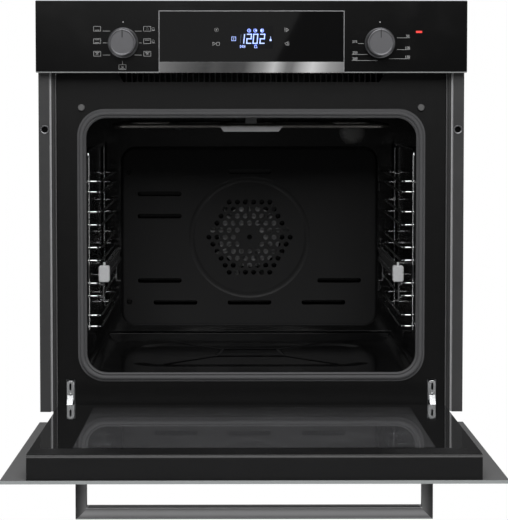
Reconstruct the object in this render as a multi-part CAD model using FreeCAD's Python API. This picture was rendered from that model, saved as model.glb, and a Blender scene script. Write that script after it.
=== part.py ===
import FreeCAD, Part
import math
import os

# A built-in wall oven with its door open, in millimetres. X runs to the right, Y into the oven, Z up.
# Y = 0 is the front face of the frame round the oven mouth, and Z = 0 is the underside of the base.
# The door is drawn closed and then turned about its hinge pins to the pose it is stored in.

# ---- overall sizes ----
front_width = 595.0       # door and control panel
front_height = 595.0      # base to the top of the control panel
panel_height = 99.5
panel_gap = 4.0           # between the closed door and the panel
door_foot_gap = 5.0       # base to the closed door's lower edge
door_stand_off = 38.0     # frame face to the back of the front glass
front_glass = 4.0
body_inset = 17.5         # each side of the casing stands in from the front's edge
body_drop = 17.0          # the casing's top below the front's
body_depth = 525.0        # frame face to the rear cover's outside
sheet = 1.0
frame_sheet = 1.2
base_lip = 8.0            # the base stands this far in front of the frame
partition_rise = 4.5      # shelf over the cavity, above the panel's lower edge
vent_width = 4.8
vent_height = 30.0
vent_rise = 12.0          # side panels' air slots above the shelf
side_vent_y = 180.0
side_vents = 8
top_vent_y = 330.0
top_vents = 7
top_vent_half = 90.0
rear_vent_rows = 6
rear_vent_drop = 90.0     # lowest row below the fan's centre
rear_vent_length = 80.0
inlet_x = -210.0          # supply cable's inlet in the rear cover
inlet_drop = 38.0         # inlet below the casing's top
inlet_radius = 9.0

# ---- cavity ----
mouth_width = 463.0
mouth_bottom = 74.0
mouth_height = 358.7
mouth_corner = 28.0
wall_recess = 4.0         # cavity walls stand this far outside the mouth's sides
cavity_depth = 415.0
rib_height = 1.4
rib_radius = 5.0
rib_front = 87.0
rib_back_gap = 69.0       # ribs' rear ends to the cavity's back
rib_table_half = 39.5
insulation_gap = 14.0
insulation_thick = 18.0

# ---- mouth seal, stops, outlet ----
seal_band = 12.7
seal_proud = 6.5
seal_corner = 38.0
stop_diameter = 9.5
stop_out = 6.5            # beyond the mouth's side
stop_depth = 5.0
stop_rise = 14.8          # above the mouth's upper edge
outlet_drop = 17.0        # outlet's lower edge below the shelf
outlet_half_width = 179.0
outlet_slope = 10.0       # each side leans out by this much at the top
louvre_count = 46
louvre_depth = 10.0

# ---- side trims ----
trim_inset = 1.5          # trims' outer edges inside the front's
trim_flange = 15.0
trim_bottom = 21.3
cabinet_plane = -21.0     # the trims' flanges lie against the cabinet here
trim_steps = 4
trim_overlap = 9.3        # trims reach in over the casing's side
fixing_inset = 8.4        # cabinet screw from the trim's outer edge
fixing_z = 416.9
fixing_hole = 7.0
grommet_diameter = 12.8

# ---- cooling blower ----
blower_y = 400.0
blower_rise = 38.5        # blower's axis above the shelf
blower_radius = 28.0
blower_length = 150.0
blower_blades = 24
blower_shaft = 5.0

# ---- fan, heaters, lamp ----
fan_z = 237.7
cover_side_gap = 30.5     # fan cover to each side wall
cover_height = 287.0
cover_centre_z = 238.2
cover_stand_off = 26.0
cover_corner = 22.0
hole_pitch = 13.0
hole_diameter = 8.0
hole_rings = 5
slot_length = 70.0
slot_width = 7.6
dish_radius = 92.5
dish_depth = 0.6
dish_width = 34.0         # of the round bar whose groove is pressed into the cover
cover_screw_inset_x = 13.0
cover_screw_inset_z = 40.0
cover_dimple = 7.0        # radius of the shallow recess round each cover screw
fan_radius = 70.0
fan_disc = 49.0           # radius of the fan's back disc
fan_blades = 9
fan_blade_root = 26.0
fan_blade_width = 9.0
fan_blade_pitch = 24.0    # degrees that each blade is turned about its own length
fan_depth = 14.0
shaft_diameter = 6.0
shaft_clearance = 0.05
ring_heater_radius = 84.0
ring_heater_gap = 12.0    # each end's distance from the middle plane
heater_diameter = 6.5
collar_radius = 3.9       # sleeve on each end of the round element
element_drop = 12.0       # element axis below the cavity's ceiling
element_bend = 18.0
inner_end_x = 24.0        # where the loops' ends pass the back wall
outer_end_x = 60.0
inner_loop_x = 120.0      # inner loop's outer and inner runs
inner_run_x = 44.0
inner_front = 104.0
inner_fold = 290.0
element_side_gap = 39.5   # outer loop to each side wall
element_back_gap = 31.0   # outer loop to the back wall
element_front = 52.0      # outer loop behind the frame
lamp_wall_gap = 70.2      # lamp's centre from the side wall
lamp_drop = 27.5          # lamp's centre below the mouth's upper edge
lamp_radius = 20.8
lamp_depth = 20.0
bulb_radius = 7.0

# ---- side racks and telescopic rails ----
rack_front = 45.0
rack_back_gap = 25.0      # rear post to the cavity's back
rack_reach = 21.5         # tray wires stand in from the side wall
rack_top = 387.0          # the thin wire that joins the posts' upper ends
rack_top_wire = 2.6
rack_wire = 3.4
rack_post = 4.0
rack_post_gap = 1.2       # post to the cavity's side wall
rack_bend = 9.0
rack_levels = ((341.8, 326.6), (298.1, 279.4), (247.2, 228.6), (196.0, 177.7), (150.0, 134.1))
rail_level = 3
rail_height = 21.0
rail_overhang = 15.0      # rail longer than the rack
rail_lift = 4.6           # rail's lower edge above the wire that it hangs on
rail_thick = 6.6
rail_sheet = 1.0
rail_play = 0.35
cap_width = 15.4
cap_height = 23.3
cap_depth = 12.0
cap_gap = 0.5             # cap to the fixed rail's end

# ---- control panel ----
knob_x = 177.0
knob_drop = 58.3          # knobs' axes below the panel's upper edge
knob_skirt = 42.0
knob_face = 37.0
knob_depth = 25.0
knob_gap = 0.8
display_width = 256.0
display_drop = 14.0
band_height = 15.0
trim_line = 1.0
window_width = 59.4
window_drop = 66.3
window_height = 31.5
lamp_bar_x = 231.0
lamp_bar_drop = 43.2
lamp_bar_width = 8.3
lamp_bar_height = 2.8
carrier_inset = 30.5      # tray's ends from the front's edges
carrier_wall_y = -14.0
switch_size = 44.0
switch_depth = 38.0
board_half = 62.0
board_height = 60.0
board_drop = 81.0         # board's lower edge below the panel's upper edge
board_thick = 1.6

# ---- door ----
open_angle = 88.8
pivot_set = 10.6          # hinge axis behind the front glass's back
pivot_z = 16.8
door_inset = 31.0         # door's box from the front glass's edges
inner_glass_back = -7.7
inner_glass_bottom = 51.8
inner_glass_drop = 49.8   # inner glass's upper edge below the front glass's
inner_glass = 4.0
middle_glass = 4.0
door_sheet = 1.5
door_top_setback = 2.0
door_step_depth = 6.7
rail_flange = 24.0
handle_width = 425.0
handle_post = 12.8
handle_bar = 15.6
handle_clear = 34.6
handle_below_top = 45.0

# ---- hinges ----
hinge_inset = 11.5        # hinge's centre from the door box's side
arm_half = 4.0
side_play = 0.25
lever_sheet = 1.0
channel_sheet = 1.2
channel_length = 190.0
pin_radius = 3.0
eye_radius = 6.6
slot_bottom = 20.0
slot_top = 64.0
lever_y = 3.5             # the locking lever's stub axle
lever_z = 40.0

# ---- worked-out values ----
half_front = front_width / 2
half_body = half_front - body_inset
body_height = front_height - body_drop
inner_top_z = body_height - sheet
front_y = -(door_stand_off + front_glass)
glass_back_y = -door_stand_off
panel_bottom = front_height - panel_height
door_top = panel_bottom - panel_gap
partition_z = panel_bottom + partition_rise
frame_top = partition_z - sheet
outlet_bottom = partition_z - outlet_drop
inlet_z = body_height - inlet_drop
mouth_top = mouth_bottom + mouth_height
mouth_centre_z = mouth_bottom + mouth_height / 2
wall_x = mouth_width / 2 + wall_recess
stop_x = mouth_width / 2 + stop_out
trim_outer_x = half_front - trim_inset
trim_inner_x = half_body - trim_overlap
fixing_x = trim_outer_x - fixing_inset
blower_z = partition_z + blower_rise
cover_y = cavity_depth - cover_stand_off
cover_width = 2 * (wall_x - cover_side_gap)
element_z = mouth_top - element_drop
element_x = wall_x - element_side_gap
element_rear = cavity_depth - element_back_gap
lamp_x = wall_x - lamp_wall_gap
lamp_z = mouth_top - lamp_drop
rack_rear = cavity_depth - rack_back_gap
rack_inner_x = wall_x - rack_reach
rail_length = rack_rear - rack_front + rail_overhang
knob_z = front_height - knob_drop
display_top = front_height - display_drop
window_bottom = front_height - window_drop
lamp_bar_z = front_height - lamp_bar_drop
pivot_y = glass_back_y + pivot_set
door_half = half_front - door_inset
inner_glass_top = door_top - inner_glass_drop
pane_y = (glass_back_y + inner_glass_back - inner_glass - middle_glass) / 2
hinge_x = door_half - hinge_inset
far = 1000.0


def box(x0, x1, y0, y1, z0, z1):
    """A block between two corners."""
    return Part.makeBox(x1 - x0, y1 - y0, z1 - z0, FreeCAD.Vector(x0, y0, z0))


def rod(radius, start, direction, length):
    """A round bar from a point along a direction."""
    return Part.makeCylinder(radius, length, FreeCAD.Vector(*start), FreeCAD.Vector(*direction))


def mirrored(shape):
    """The same piece on the other side of the middle plane."""
    return shape.mirror(FreeCAD.Vector(0, 0, 0), FreeCAD.Vector(1, 0, 0))


def fuse_all(shapes):
    """One solid from pieces that run into each other."""
    whole = shapes[0].multiFuse(shapes[1:]) if len(shapes) > 1 else shapes[0]
    return whole.removeSplitter()


def group(shapes):
    """Several separate solids in one node."""
    return Part.makeCompound(shapes)


def rounded_rect(width, height, centre_z, corner, y, depth):
    """A rectangular plate in the XZ plane with round corners, from y to y + depth."""
    w = width / 2 - corner
    h = height / 2 - corner
    points = [(w, -h), (w, h), (-w, h), (-w, -h)]
    edges = []
    for i, (x, z) in enumerate(points):
        start = (i - 1) * 90.0
        middle = FreeCAD.Vector(x, 0, z)
        arc = [start, start + 45, start + 90]
        spots = [middle + FreeCAD.Vector(math.cos(math.radians(a)), 0, math.sin(math.radians(a))) * corner
                 for a in arc]
        edges.append(spots)
    lines = []
    for i, spots in enumerate(edges):
        lines.append(Part.Arc(*spots).toShape())
        lines.append(Part.LineSegment(spots[2], edges[(i + 1) % 4][0]).toShape())
    face = Part.Face(Part.Wire(lines))
    face.translate(FreeCAD.Vector(0, y, centre_z))
    return face.extrude(FreeCAD.Vector(0, depth, 0))


def prism_yz(points, x0, x1):
    """A flat outline in the YZ plane, drawn out along X."""
    ring = [FreeCAD.Vector(x0, y, z) for y, z in points]
    return Part.Face(Part.makePolygon(ring + ring[:1])).extrude(FreeCAD.Vector(x1 - x0, 0, 0))


def prism_xz(points, y0, y1):
    """A flat outline in the XZ plane, drawn out along Y."""
    ring = [FreeCAD.Vector(x, y0, z) for x, z in points]
    return Part.Face(Part.makePolygon(ring + ring[:1])).extrude(FreeCAD.Vector(0, y1 - y0, 0))


def bent_rod(points, radius, bend):
    """A round bar along straight runs joined by tangent arcs."""
    spots = [FreeCAD.Vector(*p) for p in points]
    edges = []
    last = spots[0]
    for before, corner, after in zip(spots, spots[1:], spots[2:]):
        back = (before - corner).normalize()
        on = (after - corner).normalize()
        half = back.getAngle(on) / 2
        reach = bend / math.tan(half)
        start = corner + back * reach
        end = corner + on * reach
        bisector = (back + on).normalize()
        middle = corner + bisector * (bend / math.sin(half) - bend)
        edges.append(Part.LineSegment(last, start).toShape())
        edges.append(Part.Arc(start, middle, end).toShape())
        last = end
    edges.append(Part.LineSegment(last, spots[-1]).toShape())
    ring = Part.Wire(Part.makeCircle(radius, spots[0], spots[1] - spots[0]))
    return Part.Wire(edges).makePipeShell([ring], True, False)


def opened(shape):
    """Turns a piece of the closed door about the hinge pins to the open pose."""
    turned = shape.copy()
    turned.rotate(FreeCAD.Vector(0, pivot_y, pivot_z), FreeCAD.Vector(1, 0, 0), open_angle)
    return turned


def cut_all(shape, tools):
    """Takes every tool out of a shape."""
    return shape.cut(Part.makeCompound(tools)) if tools else shape


# ---- casing ----
def base_plate():
    return box(-half_body, half_body, -base_lip, body_depth, 0, sheet)


def side_panels():
    right = box(half_body - sheet, half_body, frame_sheet, body_depth - sheet, sheet, inner_top_z)
    low = partition_z + vent_rise
    slots = [box(half_body - 2 * sheet, half_body + sheet, y, y + vent_width, low, low + vent_height)
             for y in [side_vent_y + 3 * vent_width * i for i in range(side_vents)]]
    right = cut_all(right, slots)
    return group([right, mirrored(right)])


def top_cover():
    top = box(-half_body, half_body, frame_sheet, body_depth - sheet, inner_top_z, body_height)
    slots = [box(-top_vent_half, top_vent_half, y, y + vent_width, inner_top_z - 1, body_height + 1)
             for y in [top_vent_y + 3 * vent_width * i for i in range(top_vents)]]
    return cut_all(top, slots)


def rear_cover():
    rear = box(-half_body, half_body, body_depth - sheet, body_depth, sheet, body_height)
    slots = []
    for row in range(rear_vent_rows):
        z = fan_z - rear_vent_drop + row * 3 * vent_width
        for x in (-2 * rear_vent_length, rear_vent_length):
            slots.append(box(x, x + rear_vent_length, body_depth - 2 * sheet, body_depth + 1, z, z + vent_width))
    slots.append(rod(inlet_radius, (inlet_x, body_depth - 2 * sheet, inlet_z), (0, 1, 0), 4 * sheet))
    return cut_all(rear, slots)


def partition_plate():
    """Shelf over the cavity that carries the blower, with the outlet duct's side walls under it."""
    x = half_body - sheet
    shelf = box(-x, x, frame_sheet, body_depth - sheet, partition_z, partition_z + sheet)
    inlet = box(-blower_length / 2, blower_length / 2, blower_y - 24.0, blower_y + 24.0,
                partition_z - 1, partition_z + 2 * sheet)
    floor = box(-outlet_half_width - 8.0, outlet_half_width + 8.0, louvre_depth + 8.0, blower_y + 40.0,
                outlet_bottom - 2.0 * sheet, outlet_bottom - sheet)
    sides = [box(x0, x0 + sheet, louvre_depth + 8.0, blower_y + 40.0, outlet_bottom - sheet, partition_z)
             for x0 in (-outlet_half_width - 8.0, outlet_half_width + 7.0)]
    return fuse_all([shelf.cut(inlet), floor] + sides)


def front_frame():
    x = half_body - sheet
    plate = box(-x, x, 0, frame_sheet, sheet, frame_top)
    mouth = rounded_rect(mouth_width, mouth_height, mouth_centre_z, mouth_corner, -1, 4 * frame_sheet)
    top = frame_top + 1
    lean = outlet_slope * (top - outlet_bottom) / (frame_top - outlet_bottom)
    w = outlet_half_width
    outlet = prism_xz([(-w, outlet_bottom), (w, outlet_bottom), (w + lean, top), (-w - lean, top)], -1, 3)
    gap = arm_half + side_play + lever_sheet + side_play * 5
    slots = [box(s * hinge_x - gap, s * hinge_x + gap, -1, 3, slot_bottom, slot_top) for s in (-1, 1)]
    plate = cut_all(plate, [mouth, outlet] + slots)
    lip = rounded_rect(mouth_width + 2, mouth_height + 2, mouth_centre_z, mouth_corner + 1, frame_sheet, 2.0)
    lip = lip.cut(rounded_rect(mouth_width, mouth_height, mouth_centre_z, mouth_corner, frame_sheet - 1, 5.0))
    return fuse_all([plate, lip])


def side_trims():
    """Flange against the cabinet, and a stepped wall back to the frame."""
    outer = trim_outer_x
    flange_x = outer - trim_flange
    front = cabinet_plane - sheet
    z0 = trim_bottom
    z1 = body_height - 2 * sheet
    pieces = [box(flange_x, outer, front, cabinet_plane, z0, z1)]
    step_y = (0 - front) / trim_steps
    step_x = (flange_x - trim_inner_x) / trim_steps
    for i in range(trim_steps):
        x = flange_x - i * step_x
        y = front + i * step_y
        pieces.append(box(x, x + sheet, y, y + step_y, z0, z1))
        if i < trim_steps - 1:
            pieces.append(box(x - step_x, x + sheet, y + step_y - sheet, y + step_y, z0, z1))
    trim = fuse_all(pieces)
    neck = grommet_diameter / 2 - sheet
    trim = trim.cut(rod(neck, (fixing_x, front - 1, fixing_z), (0, 1, 0), 3 * sheet))
    return group([trim, mirrored(trim)])


def trim_grommets():
    front = cabinet_plane - sheet
    rim = rod(grommet_diameter / 2, (fixing_x, front - sheet, fixing_z), (0, 1, 0), sheet)
    neck = rod(grommet_diameter / 2 - sheet, (fixing_x, front, fixing_z), (0, 1, 0), sheet)
    bore = rod(fixing_hole / 2, (fixing_x, front - 3, fixing_z), (0, 1, 0), 8)
    ring = fuse_all([rim, neck]).cut(bore)
    return group([ring, mirrored(ring)])


# ---- cavity ----
def rib(x0, y0, x1, y1):
    """A pressed rib on the cavity floor, a shallow slice of a round bar with round ends."""
    depth = rib_radius - rib_height
    z = mouth_bottom - depth
    run = FreeCAD.Vector(x1 - x0, y1 - y0, 0)
    bar = Part.makeCylinder(rib_radius, run.Length, FreeCAD.Vector(x0, y0, z), run)
    ends = [Part.makeSphere(rib_radius, FreeCAD.Vector(x, y, z)) for x, y in ((x0, y0), (x1, y1))]
    keep = box(-far, far, -far, far, mouth_bottom - sheet / 2, far)
    return bar.multiFuse(ends).common(keep)


def floor_ribs():
    """Four ribs round a small table in the floor's middle, and four out towards its corners."""
    back = cavity_depth - rib_back_gap
    middle = (rib_front + back) / 2
    near = middle - rib_table_half
    far_edge = middle + rib_table_half
    table = ((-42.5, far_edge), (42.5, far_edge), (51.0, near), (-51.0, near))
    corners = ((-124.0, back), (124.0, back), (124.0, rib_front), (-124.0, rib_front))
    ribs = []
    for i in range(4):
        ribs.append(rib(*table[i], *table[(i + 1) % 4]))
        ribs.append(rib(*table[i], *corners[i]))
    return ribs


def cavity_wrapper():
    """Floor, sides and ceiling bent from one sheet, with the floor's pressed ribs."""
    width = 2 * wall_x
    length = cavity_depth - frame_sheet
    outer = rounded_rect(width + 2 * sheet, mouth_height + 2 * sheet, mouth_centre_z, mouth_corner + sheet,
                         frame_sheet, length)
    inner = rounded_rect(width, mouth_height, mouth_centre_z, mouth_corner, 0, cavity_depth + 2)
    lip_cut = rounded_rect(mouth_width + 2.4, mouth_height + 2.4, mouth_centre_z, mouth_corner + 1.2, 0,
                           frame_sheet + 2.2)
    return fuse_all([outer.cut(inner).cut(lip_cut)] + floor_ribs())


def cavity_back():
    width = 2 * (wall_x + sheet)
    plate = rounded_rect(width, mouth_height + 2 * sheet, mouth_centre_z, mouth_corner + sheet,
                         cavity_depth, sheet)
    hole = rod(shaft_diameter / 2 + 2, (0, cavity_depth - 1, fan_z), (0, 1, 0), 4)
    lamp = rod(lamp_radius - 6, (lamp_x, cavity_depth - 1, lamp_z), (0, 1, 0), 4)
    tubes = [rod(collar_radius + 0.3, (x, cavity_depth - 1, z), (0, 1, 0), 4)
             for x, z in element_ends() + ring_ends()]
    return cut_all(plate, [hole, lamp] + tubes)


def insulation():
    """Glass wool round the cavity, in one wrap."""
    wide = 2 * (wall_x + sheet)
    gap = insulation_gap
    outer_grow = 2 * (gap + insulation_thick)
    y0 = frame_sheet + 62.0
    y1 = cavity_depth + sheet
    outer = rounded_rect(wide + outer_grow, mouth_height + outer_grow, mouth_centre_z,
                         mouth_corner + gap + insulation_thick, y0, y1 - y0)
    inner = rounded_rect(wide + 2 * gap, mouth_height + 2 * gap, mouth_centre_z, mouth_corner + gap,
                         y0 - 1, y1 - y0 + 2)
    return outer.cut(inner)


def door_gasket():
    outer = rounded_rect(mouth_width + 2 * seal_band, mouth_height + 2 * seal_band, mouth_centre_z,
                         seal_corner, -seal_proud, seal_proud)
    inner = rounded_rect(mouth_width, mouth_height, mouth_centre_z, mouth_corner, -seal_proud - 1,
                         seal_proud + 2)
    ring = outer.cut(inner)
    front = [e for e in ring.Edges if abs(e.BoundBox.YMax + seal_proud) < 1e-6
             and abs(e.BoundBox.YMin + seal_proud) < 1e-6]
    return ring.makeFillet(seal_proud * 0.4, front)


def door_bumpers():
    z = mouth_top + stop_rise
    stop = rod(stop_diameter / 2, (stop_x, -stop_depth, z), (0, 1, 0), stop_depth)
    rim = [e for e in stop.Edges if abs(e.BoundBox.YMax + stop_depth) < 1e-6]
    stop = stop.makeFillet(1.6, rim)
    return group([stop, mirrored(stop)])


# ---- fan cover and what is behind it ----
def slot_tool(x, z):
    """A round-ended slot through the fan cover, centred at x, z."""
    r = slot_width / 2
    reach = slot_length / 2 - r
    body = box(x - reach, x + reach, cover_y - 4, cover_y + 4, z - r, z + r)
    ends = [rod(r, (x + s * reach, cover_y - 4, z), (0, 1, 0), 8) for s in (-1, 1)]
    return body.multiFuse(ends)


def hole_tools():
    """Round holes on a six-sided field, without the ring next to the middle one."""
    tools = []
    for row in range(-hole_rings, hole_rings + 1):
        count = 2 * hole_rings + 1 - abs(row)
        for i in range(count):
            x = (i - (count - 1) / 2) * hole_pitch
            z = row * hole_pitch * math.sqrt(3) / 2
            reach = math.hypot(x, z)
            if hole_pitch * 0.5 < reach < hole_pitch * 1.5:
                continue
            tools.append(rod(hole_diameter / 2, (x, cover_y - 4, fan_z + z), (0, 1, 0), 8))
    return tools


def fan_cover():
    depth = cover_stand_off
    outer = rounded_rect(cover_width, cover_height, cover_centre_z, cover_corner, cover_y, depth)
    rim = [e for e in outer.Edges if abs(e.BoundBox.YMax - cover_y) < 1e-6]
    outer = outer.makeFillet(5.0, rim)
    inner = rounded_rect(cover_width - 2 * sheet, cover_height - 2 * sheet, cover_centre_z,
                         cover_corner - sheet, cover_y + sheet, depth)
    rim = [e for e in inner.Edges if abs(e.BoundBox.YMax - cover_y - sheet) < 1e-6]
    shell = outer.cut(inner.makeFillet(4.0, rim))
    side = cover_width / 2 - 61.5
    low = cover_width / 2 - 86.5
    slots = [slot_tool(x, fan_z + z) for x, z in (
        (0.0, 105.2), (-side, 69.4), (-side, 33.8), (-side, -69.4), (side, -69.4),
        (-low, -104.6), (0.0, -104.6), (low, -104.6))]
    screws = [rod(2.2, (x, cover_y - 1, z), (0, 1, 0), 4) for x, z in cover_screw_places()]
    ring = Part.makeTorus(dish_radius, dish_width / 2, FreeCAD.Vector(0, cover_y + dish_depth - dish_width / 2, fan_z),
                          FreeCAD.Vector(0, 1, 0))
    dimples = [rod(cover_dimple, (x, cover_y - 1, z), (0, 1, 0), 1 + sheet / 2)
               for x, z in cover_screw_places()]
    edge = cover_width / 2
    tabs = [box(edge - sheet, edge + 4.0, cover_y + 12.0, cover_y + 13.5, z - 7.0, z + 7.0)
            for z in (fan_z - 80.0, fan_z + 80.0)]
    return cut_all(fuse_all([shell] + tabs), slots + hole_tools() + screws + dimples + [ring])


def cover_screw_places():
    """Two screws by the left edge; the right edge hooks behind two tabs."""
    x = cover_width / 2 - cover_screw_inset_x
    z = cover_height / 2 - cover_screw_inset_z
    return [(-x, cover_centre_z + s * z) for s in (-1, 1)]


def cover_screws():
    screws = []
    for x, z in cover_screw_places():
        seat = cover_y + sheet / 2
        head = rod(4.2, (x, cover_y - 2.2, z), (0, 1, 0), seat - cover_y + 2.2)
        rim = [e for e in head.Edges if abs(e.BoundBox.YMax - cover_y + 2.2) < 1e-6]
        head = head.makeFillet(1.2, rim)
        stem = rod(2.0, (x, cover_y, z), (0, 1, 0), cover_stand_off)
        cross = [box(x - 2.4, x + 2.4, cover_y - 3, cover_y - 1.2, z - 0.5, z + 0.5),
                 box(x - 0.5, x + 0.5, cover_y - 3, cover_y - 1.2, z - 2.4, z + 2.4)]
        screws.append(cut_all(fuse_all([head, stem]), cross))
    return group(screws)


def fan_wheel():
    """Hub, back disc and pitched blades, on the motor's shaft."""
    y0 = cavity_depth - 4.0 - fan_depth
    y1 = y0 + fan_depth
    disc = rod(fan_disc, (0, y1 - sheet, fan_z), (0, 1, 0), sheet)
    half = fan_blade_width / 2
    blade = box(-half, half, y1 - half, y1 - half + sheet, fan_z + fan_blade_root, fan_z + fan_radius)
    blade.rotate(FreeCAD.Vector(0, y1 - half, fan_z), FreeCAD.Vector(0, 0, 1), fan_blade_pitch)
    root = box(-sheet, sheet, y1 - half, y1, fan_z + fan_blade_root, fan_z + fan_disc - sheet)
    blade = blade.fuse(root)
    parts = [disc, rod(8.0, (0, y0 + 4.0, fan_z), (0, 1, 0), fan_depth - 4.0)]
    for i in range(fan_blades):
        turned = blade.copy()
        turned.rotate(FreeCAD.Vector(0, 0, fan_z), FreeCAD.Vector(0, 1, 0), 360.0 * i / fan_blades)
        parts.append(turned)
    start = y0 + 5.0
    shaft = rod(shaft_diameter / 2, (0, start, fan_z), (0, 1, 0), cavity_depth + 60.0 - start)
    return fuse_all(parts + [shaft])


def fan_motor():
    y0 = cavity_depth + sheet + 24.0
    case = rod(32.0, (0, y0, fan_z), (0, 1, 0), 44.0)
    plate = box(-46.0, 46.0, y0 - 2.0, y0, fan_z - 46.0, fan_z + 46.0)
    legs = [rod(4.0, (x, cavity_depth + sheet, fan_z + z), (0, 1, 0), y0 - 2.0 - cavity_depth - sheet)
            for x in (-38.0, 38.0) for z in (-38.0, 38.0)]
    bore = rod(shaft_diameter / 2 + shaft_clearance, (0, y0 - 4, fan_z), (0, 1, 0), 60)
    return fuse_all([case, plate] + legs).cut(bore)


def ring_ends():
    drop = math.sqrt(ring_heater_radius ** 2 - ring_heater_gap ** 2)
    return [(s * ring_heater_gap, fan_z - drop) for s in (-1, 1)]


def ring_heater():
    """Round element about the fan, open at the bottom, its two ends through the back wall."""
    r = heater_diameter / 2
    y = cavity_depth - 13.0
    ring = Part.makeTorus(ring_heater_radius, r, FreeCAD.Vector(0, y, fan_z), FreeCAD.Vector(0, 1, 0))
    gap = ring_heater_gap
    ring = ring.cut(box(-gap, gap, y - 10, y + 10, fan_z - far, fan_z))
    ends = []
    for x, z in ring_ends():
        ends.append(rod(collar_radius, (x, y - collar_radius, z), (0, 1, 0), 38.0))
    return fuse_all([ring] + ends)


def element_ends():
    return [(s * x, element_z) for x in (inner_end_x, outer_end_x) for s in (-1, 1)]


def grill_elements():
    """Outer and inner heating loops under the ceiling."""
    through = cavity_depth + 16.0
    turn = element_rear - 44.0
    fold = min(inner_fold, turn - 50.0)
    outer = [(outer_end_x, through), (outer_end_x, element_rear), (element_x, element_rear),
             (element_x, element_front)]
    inner = [(inner_end_x, through), (inner_end_x, turn), (inner_loop_x, turn), (inner_loop_x, inner_front),
             (inner_run_x, inner_front), (inner_run_x, fold)]
    loops = []
    for half in (outer, inner):
        path = [(-x, y, element_z) for x, y in half] + [(x, y, element_z) for x, y in reversed(half)]
        loops.append(bent_rod(path, heater_diameter / 2, element_bend))
    return group(loops)


def element_bracket():
    """Pressed holder that carries the loops at the front of the ceiling."""
    r = heater_diameter / 2
    top = element_z - 0.5
    low = element_z - r - 4.7
    y0 = element_front - 8.0
    y1 = element_front - r - 0.2
    y2 = element_front + 7.0
    face = prism_xz([(-45, top), (45, top), (39, low), (-39, low)], y0, y1)
    shelf = box(-39, 39, y1 - 0.1, y2, low, low + 4.0)
    strap = box(-8, 8, y2 - 2.0, y2, low, mouth_top)
    return fuse_all([face, shelf, strap])


def bottom_element():
    """Heating loop under the cavity floor."""
    z = mouth_bottom - sheet - heater_diameter / 2 - 1.0
    rear = cavity_depth - 65.0
    half = [(30.0, cavity_depth - 15.0), (30.0, rear), (150.0, rear), (150.0, 90.0)]
    path = [(-x, y, z) for x, y in half] + [(x, y, z) for x, y in reversed(half)]
    return bent_rod(path, heater_diameter / 2, element_bend)


def lamp_profile(radius, depth, wall):
    """A glass cup with a domed front, as a turned shell."""
    outer = rod(radius, (0, 0, 0), (0, -1, 0), depth)
    rim = [e for e in outer.Edges if abs(e.BoundBox.YMin + depth) < 1e-6 and abs(e.BoundBox.YMax + depth) < 1e-6]
    outer = outer.makeFillet(radius * 0.42, rim)
    inner = rod(radius - wall, (0, 1, 0), (0, -1, 0), depth - wall + 1)
    rim = [e for e in inner.Edges if abs(e.BoundBox.YMin + depth - wall) < 1e-6
           and abs(e.BoundBox.YMax + depth - wall) < 1e-6]
    return outer.cut(inner.makeFillet(radius * 0.36, rim))


def lamp_lens():
    cup = lamp_profile(lamp_radius, lamp_depth, 2.4)
    cup.translate(FreeCAD.Vector(lamp_x, cavity_depth, lamp_z))
    return cup


def lamp_bulb():
    y = cavity_depth - 9.0
    tip = Part.makeSphere(bulb_radius, FreeCAD.Vector(lamp_x, y, lamp_z))
    return fuse_all([rod(bulb_radius, (lamp_x, y, lamp_z), (0, 1, 0), 15.0), tip])


def lamp_socket():
    y0 = cavity_depth + sheet
    cup = rod(lamp_radius - 2, (lamp_x, y0, lamp_z), (0, 1, 0), 34.0)
    well = rod(bulb_radius + 0.4, (lamp_x, y0 - 1, lamp_z), (0, 1, 0), 8.0)
    return cup.cut(well)


# ---- racks and rails ----
def side_racks():
    """Two wire ladders: ten loops welded to two upright posts, and a thin wire that joins the posts' tops."""
    post_x = wall_x - rack_post_gap - rack_post / 2
    top = rack_levels[0][0] + 6.0
    crown = [(post_x, rack_front, top - 1.0), (post_x, rack_front, rack_top),
             (post_x, rack_rear, rack_top), (post_x, rack_rear, top - 1.0)]
    bottom = rack_levels[-1][1] - 5.0
    pieces = []
    for y in (rack_front, rack_rear):
        pieces.append(rod(rack_post / 2, (post_x, y, bottom), (0, 0, 1), top - bottom))
        for z in (top - 8.0, bottom + 8.0):
            pieces.append(rod(rack_post / 2 - 0.4, (post_x, y, z), (1, 0, 0), wall_x - post_x))
    pieces.append(bent_rod(crown, rack_top_wire / 2, rack_bend))
    for pair in rack_levels:
        for z in pair:
            path = [(post_x, rack_front, z), (rack_inner_x, rack_front, z),
                    (rack_inner_x, rack_rear, z), (post_x, rack_rear, z)]
            pieces.append(bent_rod(path, rack_wire / 2, rack_bend))
    rack = fuse_all(pieces)
    return group([rack, mirrored(rack)])


rail_web_x = rack_inner_x - rack_wire / 2 - 0.1
rail_bottom = rack_levels[rail_level][0] + rail_lift
rail_top = rail_bottom + rail_height
rail_front = rack_front - 9.0


def fixed_rails():
    """C-shaped rails with a clip at each end that grips the two wires of their level."""
    upper, lower = rack_levels[rail_level]
    inner_x = rail_web_x - rail_thick
    web = box(rail_web_x - rail_sheet, rail_web_x, rail_front, rail_front + rail_length, rail_bottom, rail_top)
    lips = [box(inner_x, rail_web_x, rail_front, rail_front + rail_length, z, z + rail_sheet)
            for z in (rail_bottom, rail_top - rail_sheet)]
    pieces = [web] + lips
    r = rack_wire / 2
    for y0 in (rail_front + 14.0, rail_front + rail_length - 30.0):
        pieces.append(box(rail_web_x - rail_sheet, rail_web_x, y0, y0 + 16.0, lower - 8.0, rail_bottom + 1))
        for z in (upper, lower):
            hook = box(rail_web_x, rail_web_x + 2 * r + 1.4, y0, y0 + 16.0, z - r - 1.6, z - r - 0.1)
            pieces.append(hook)
        pieces.append(box(inner_x - 1.0, rail_web_x, y0, y0 + 16.0, lower - 8.0, lower - 8.0 + rail_sheet))
    rail = fuse_all(pieces)
    return group([rail, mirrored(rail)])


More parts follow.
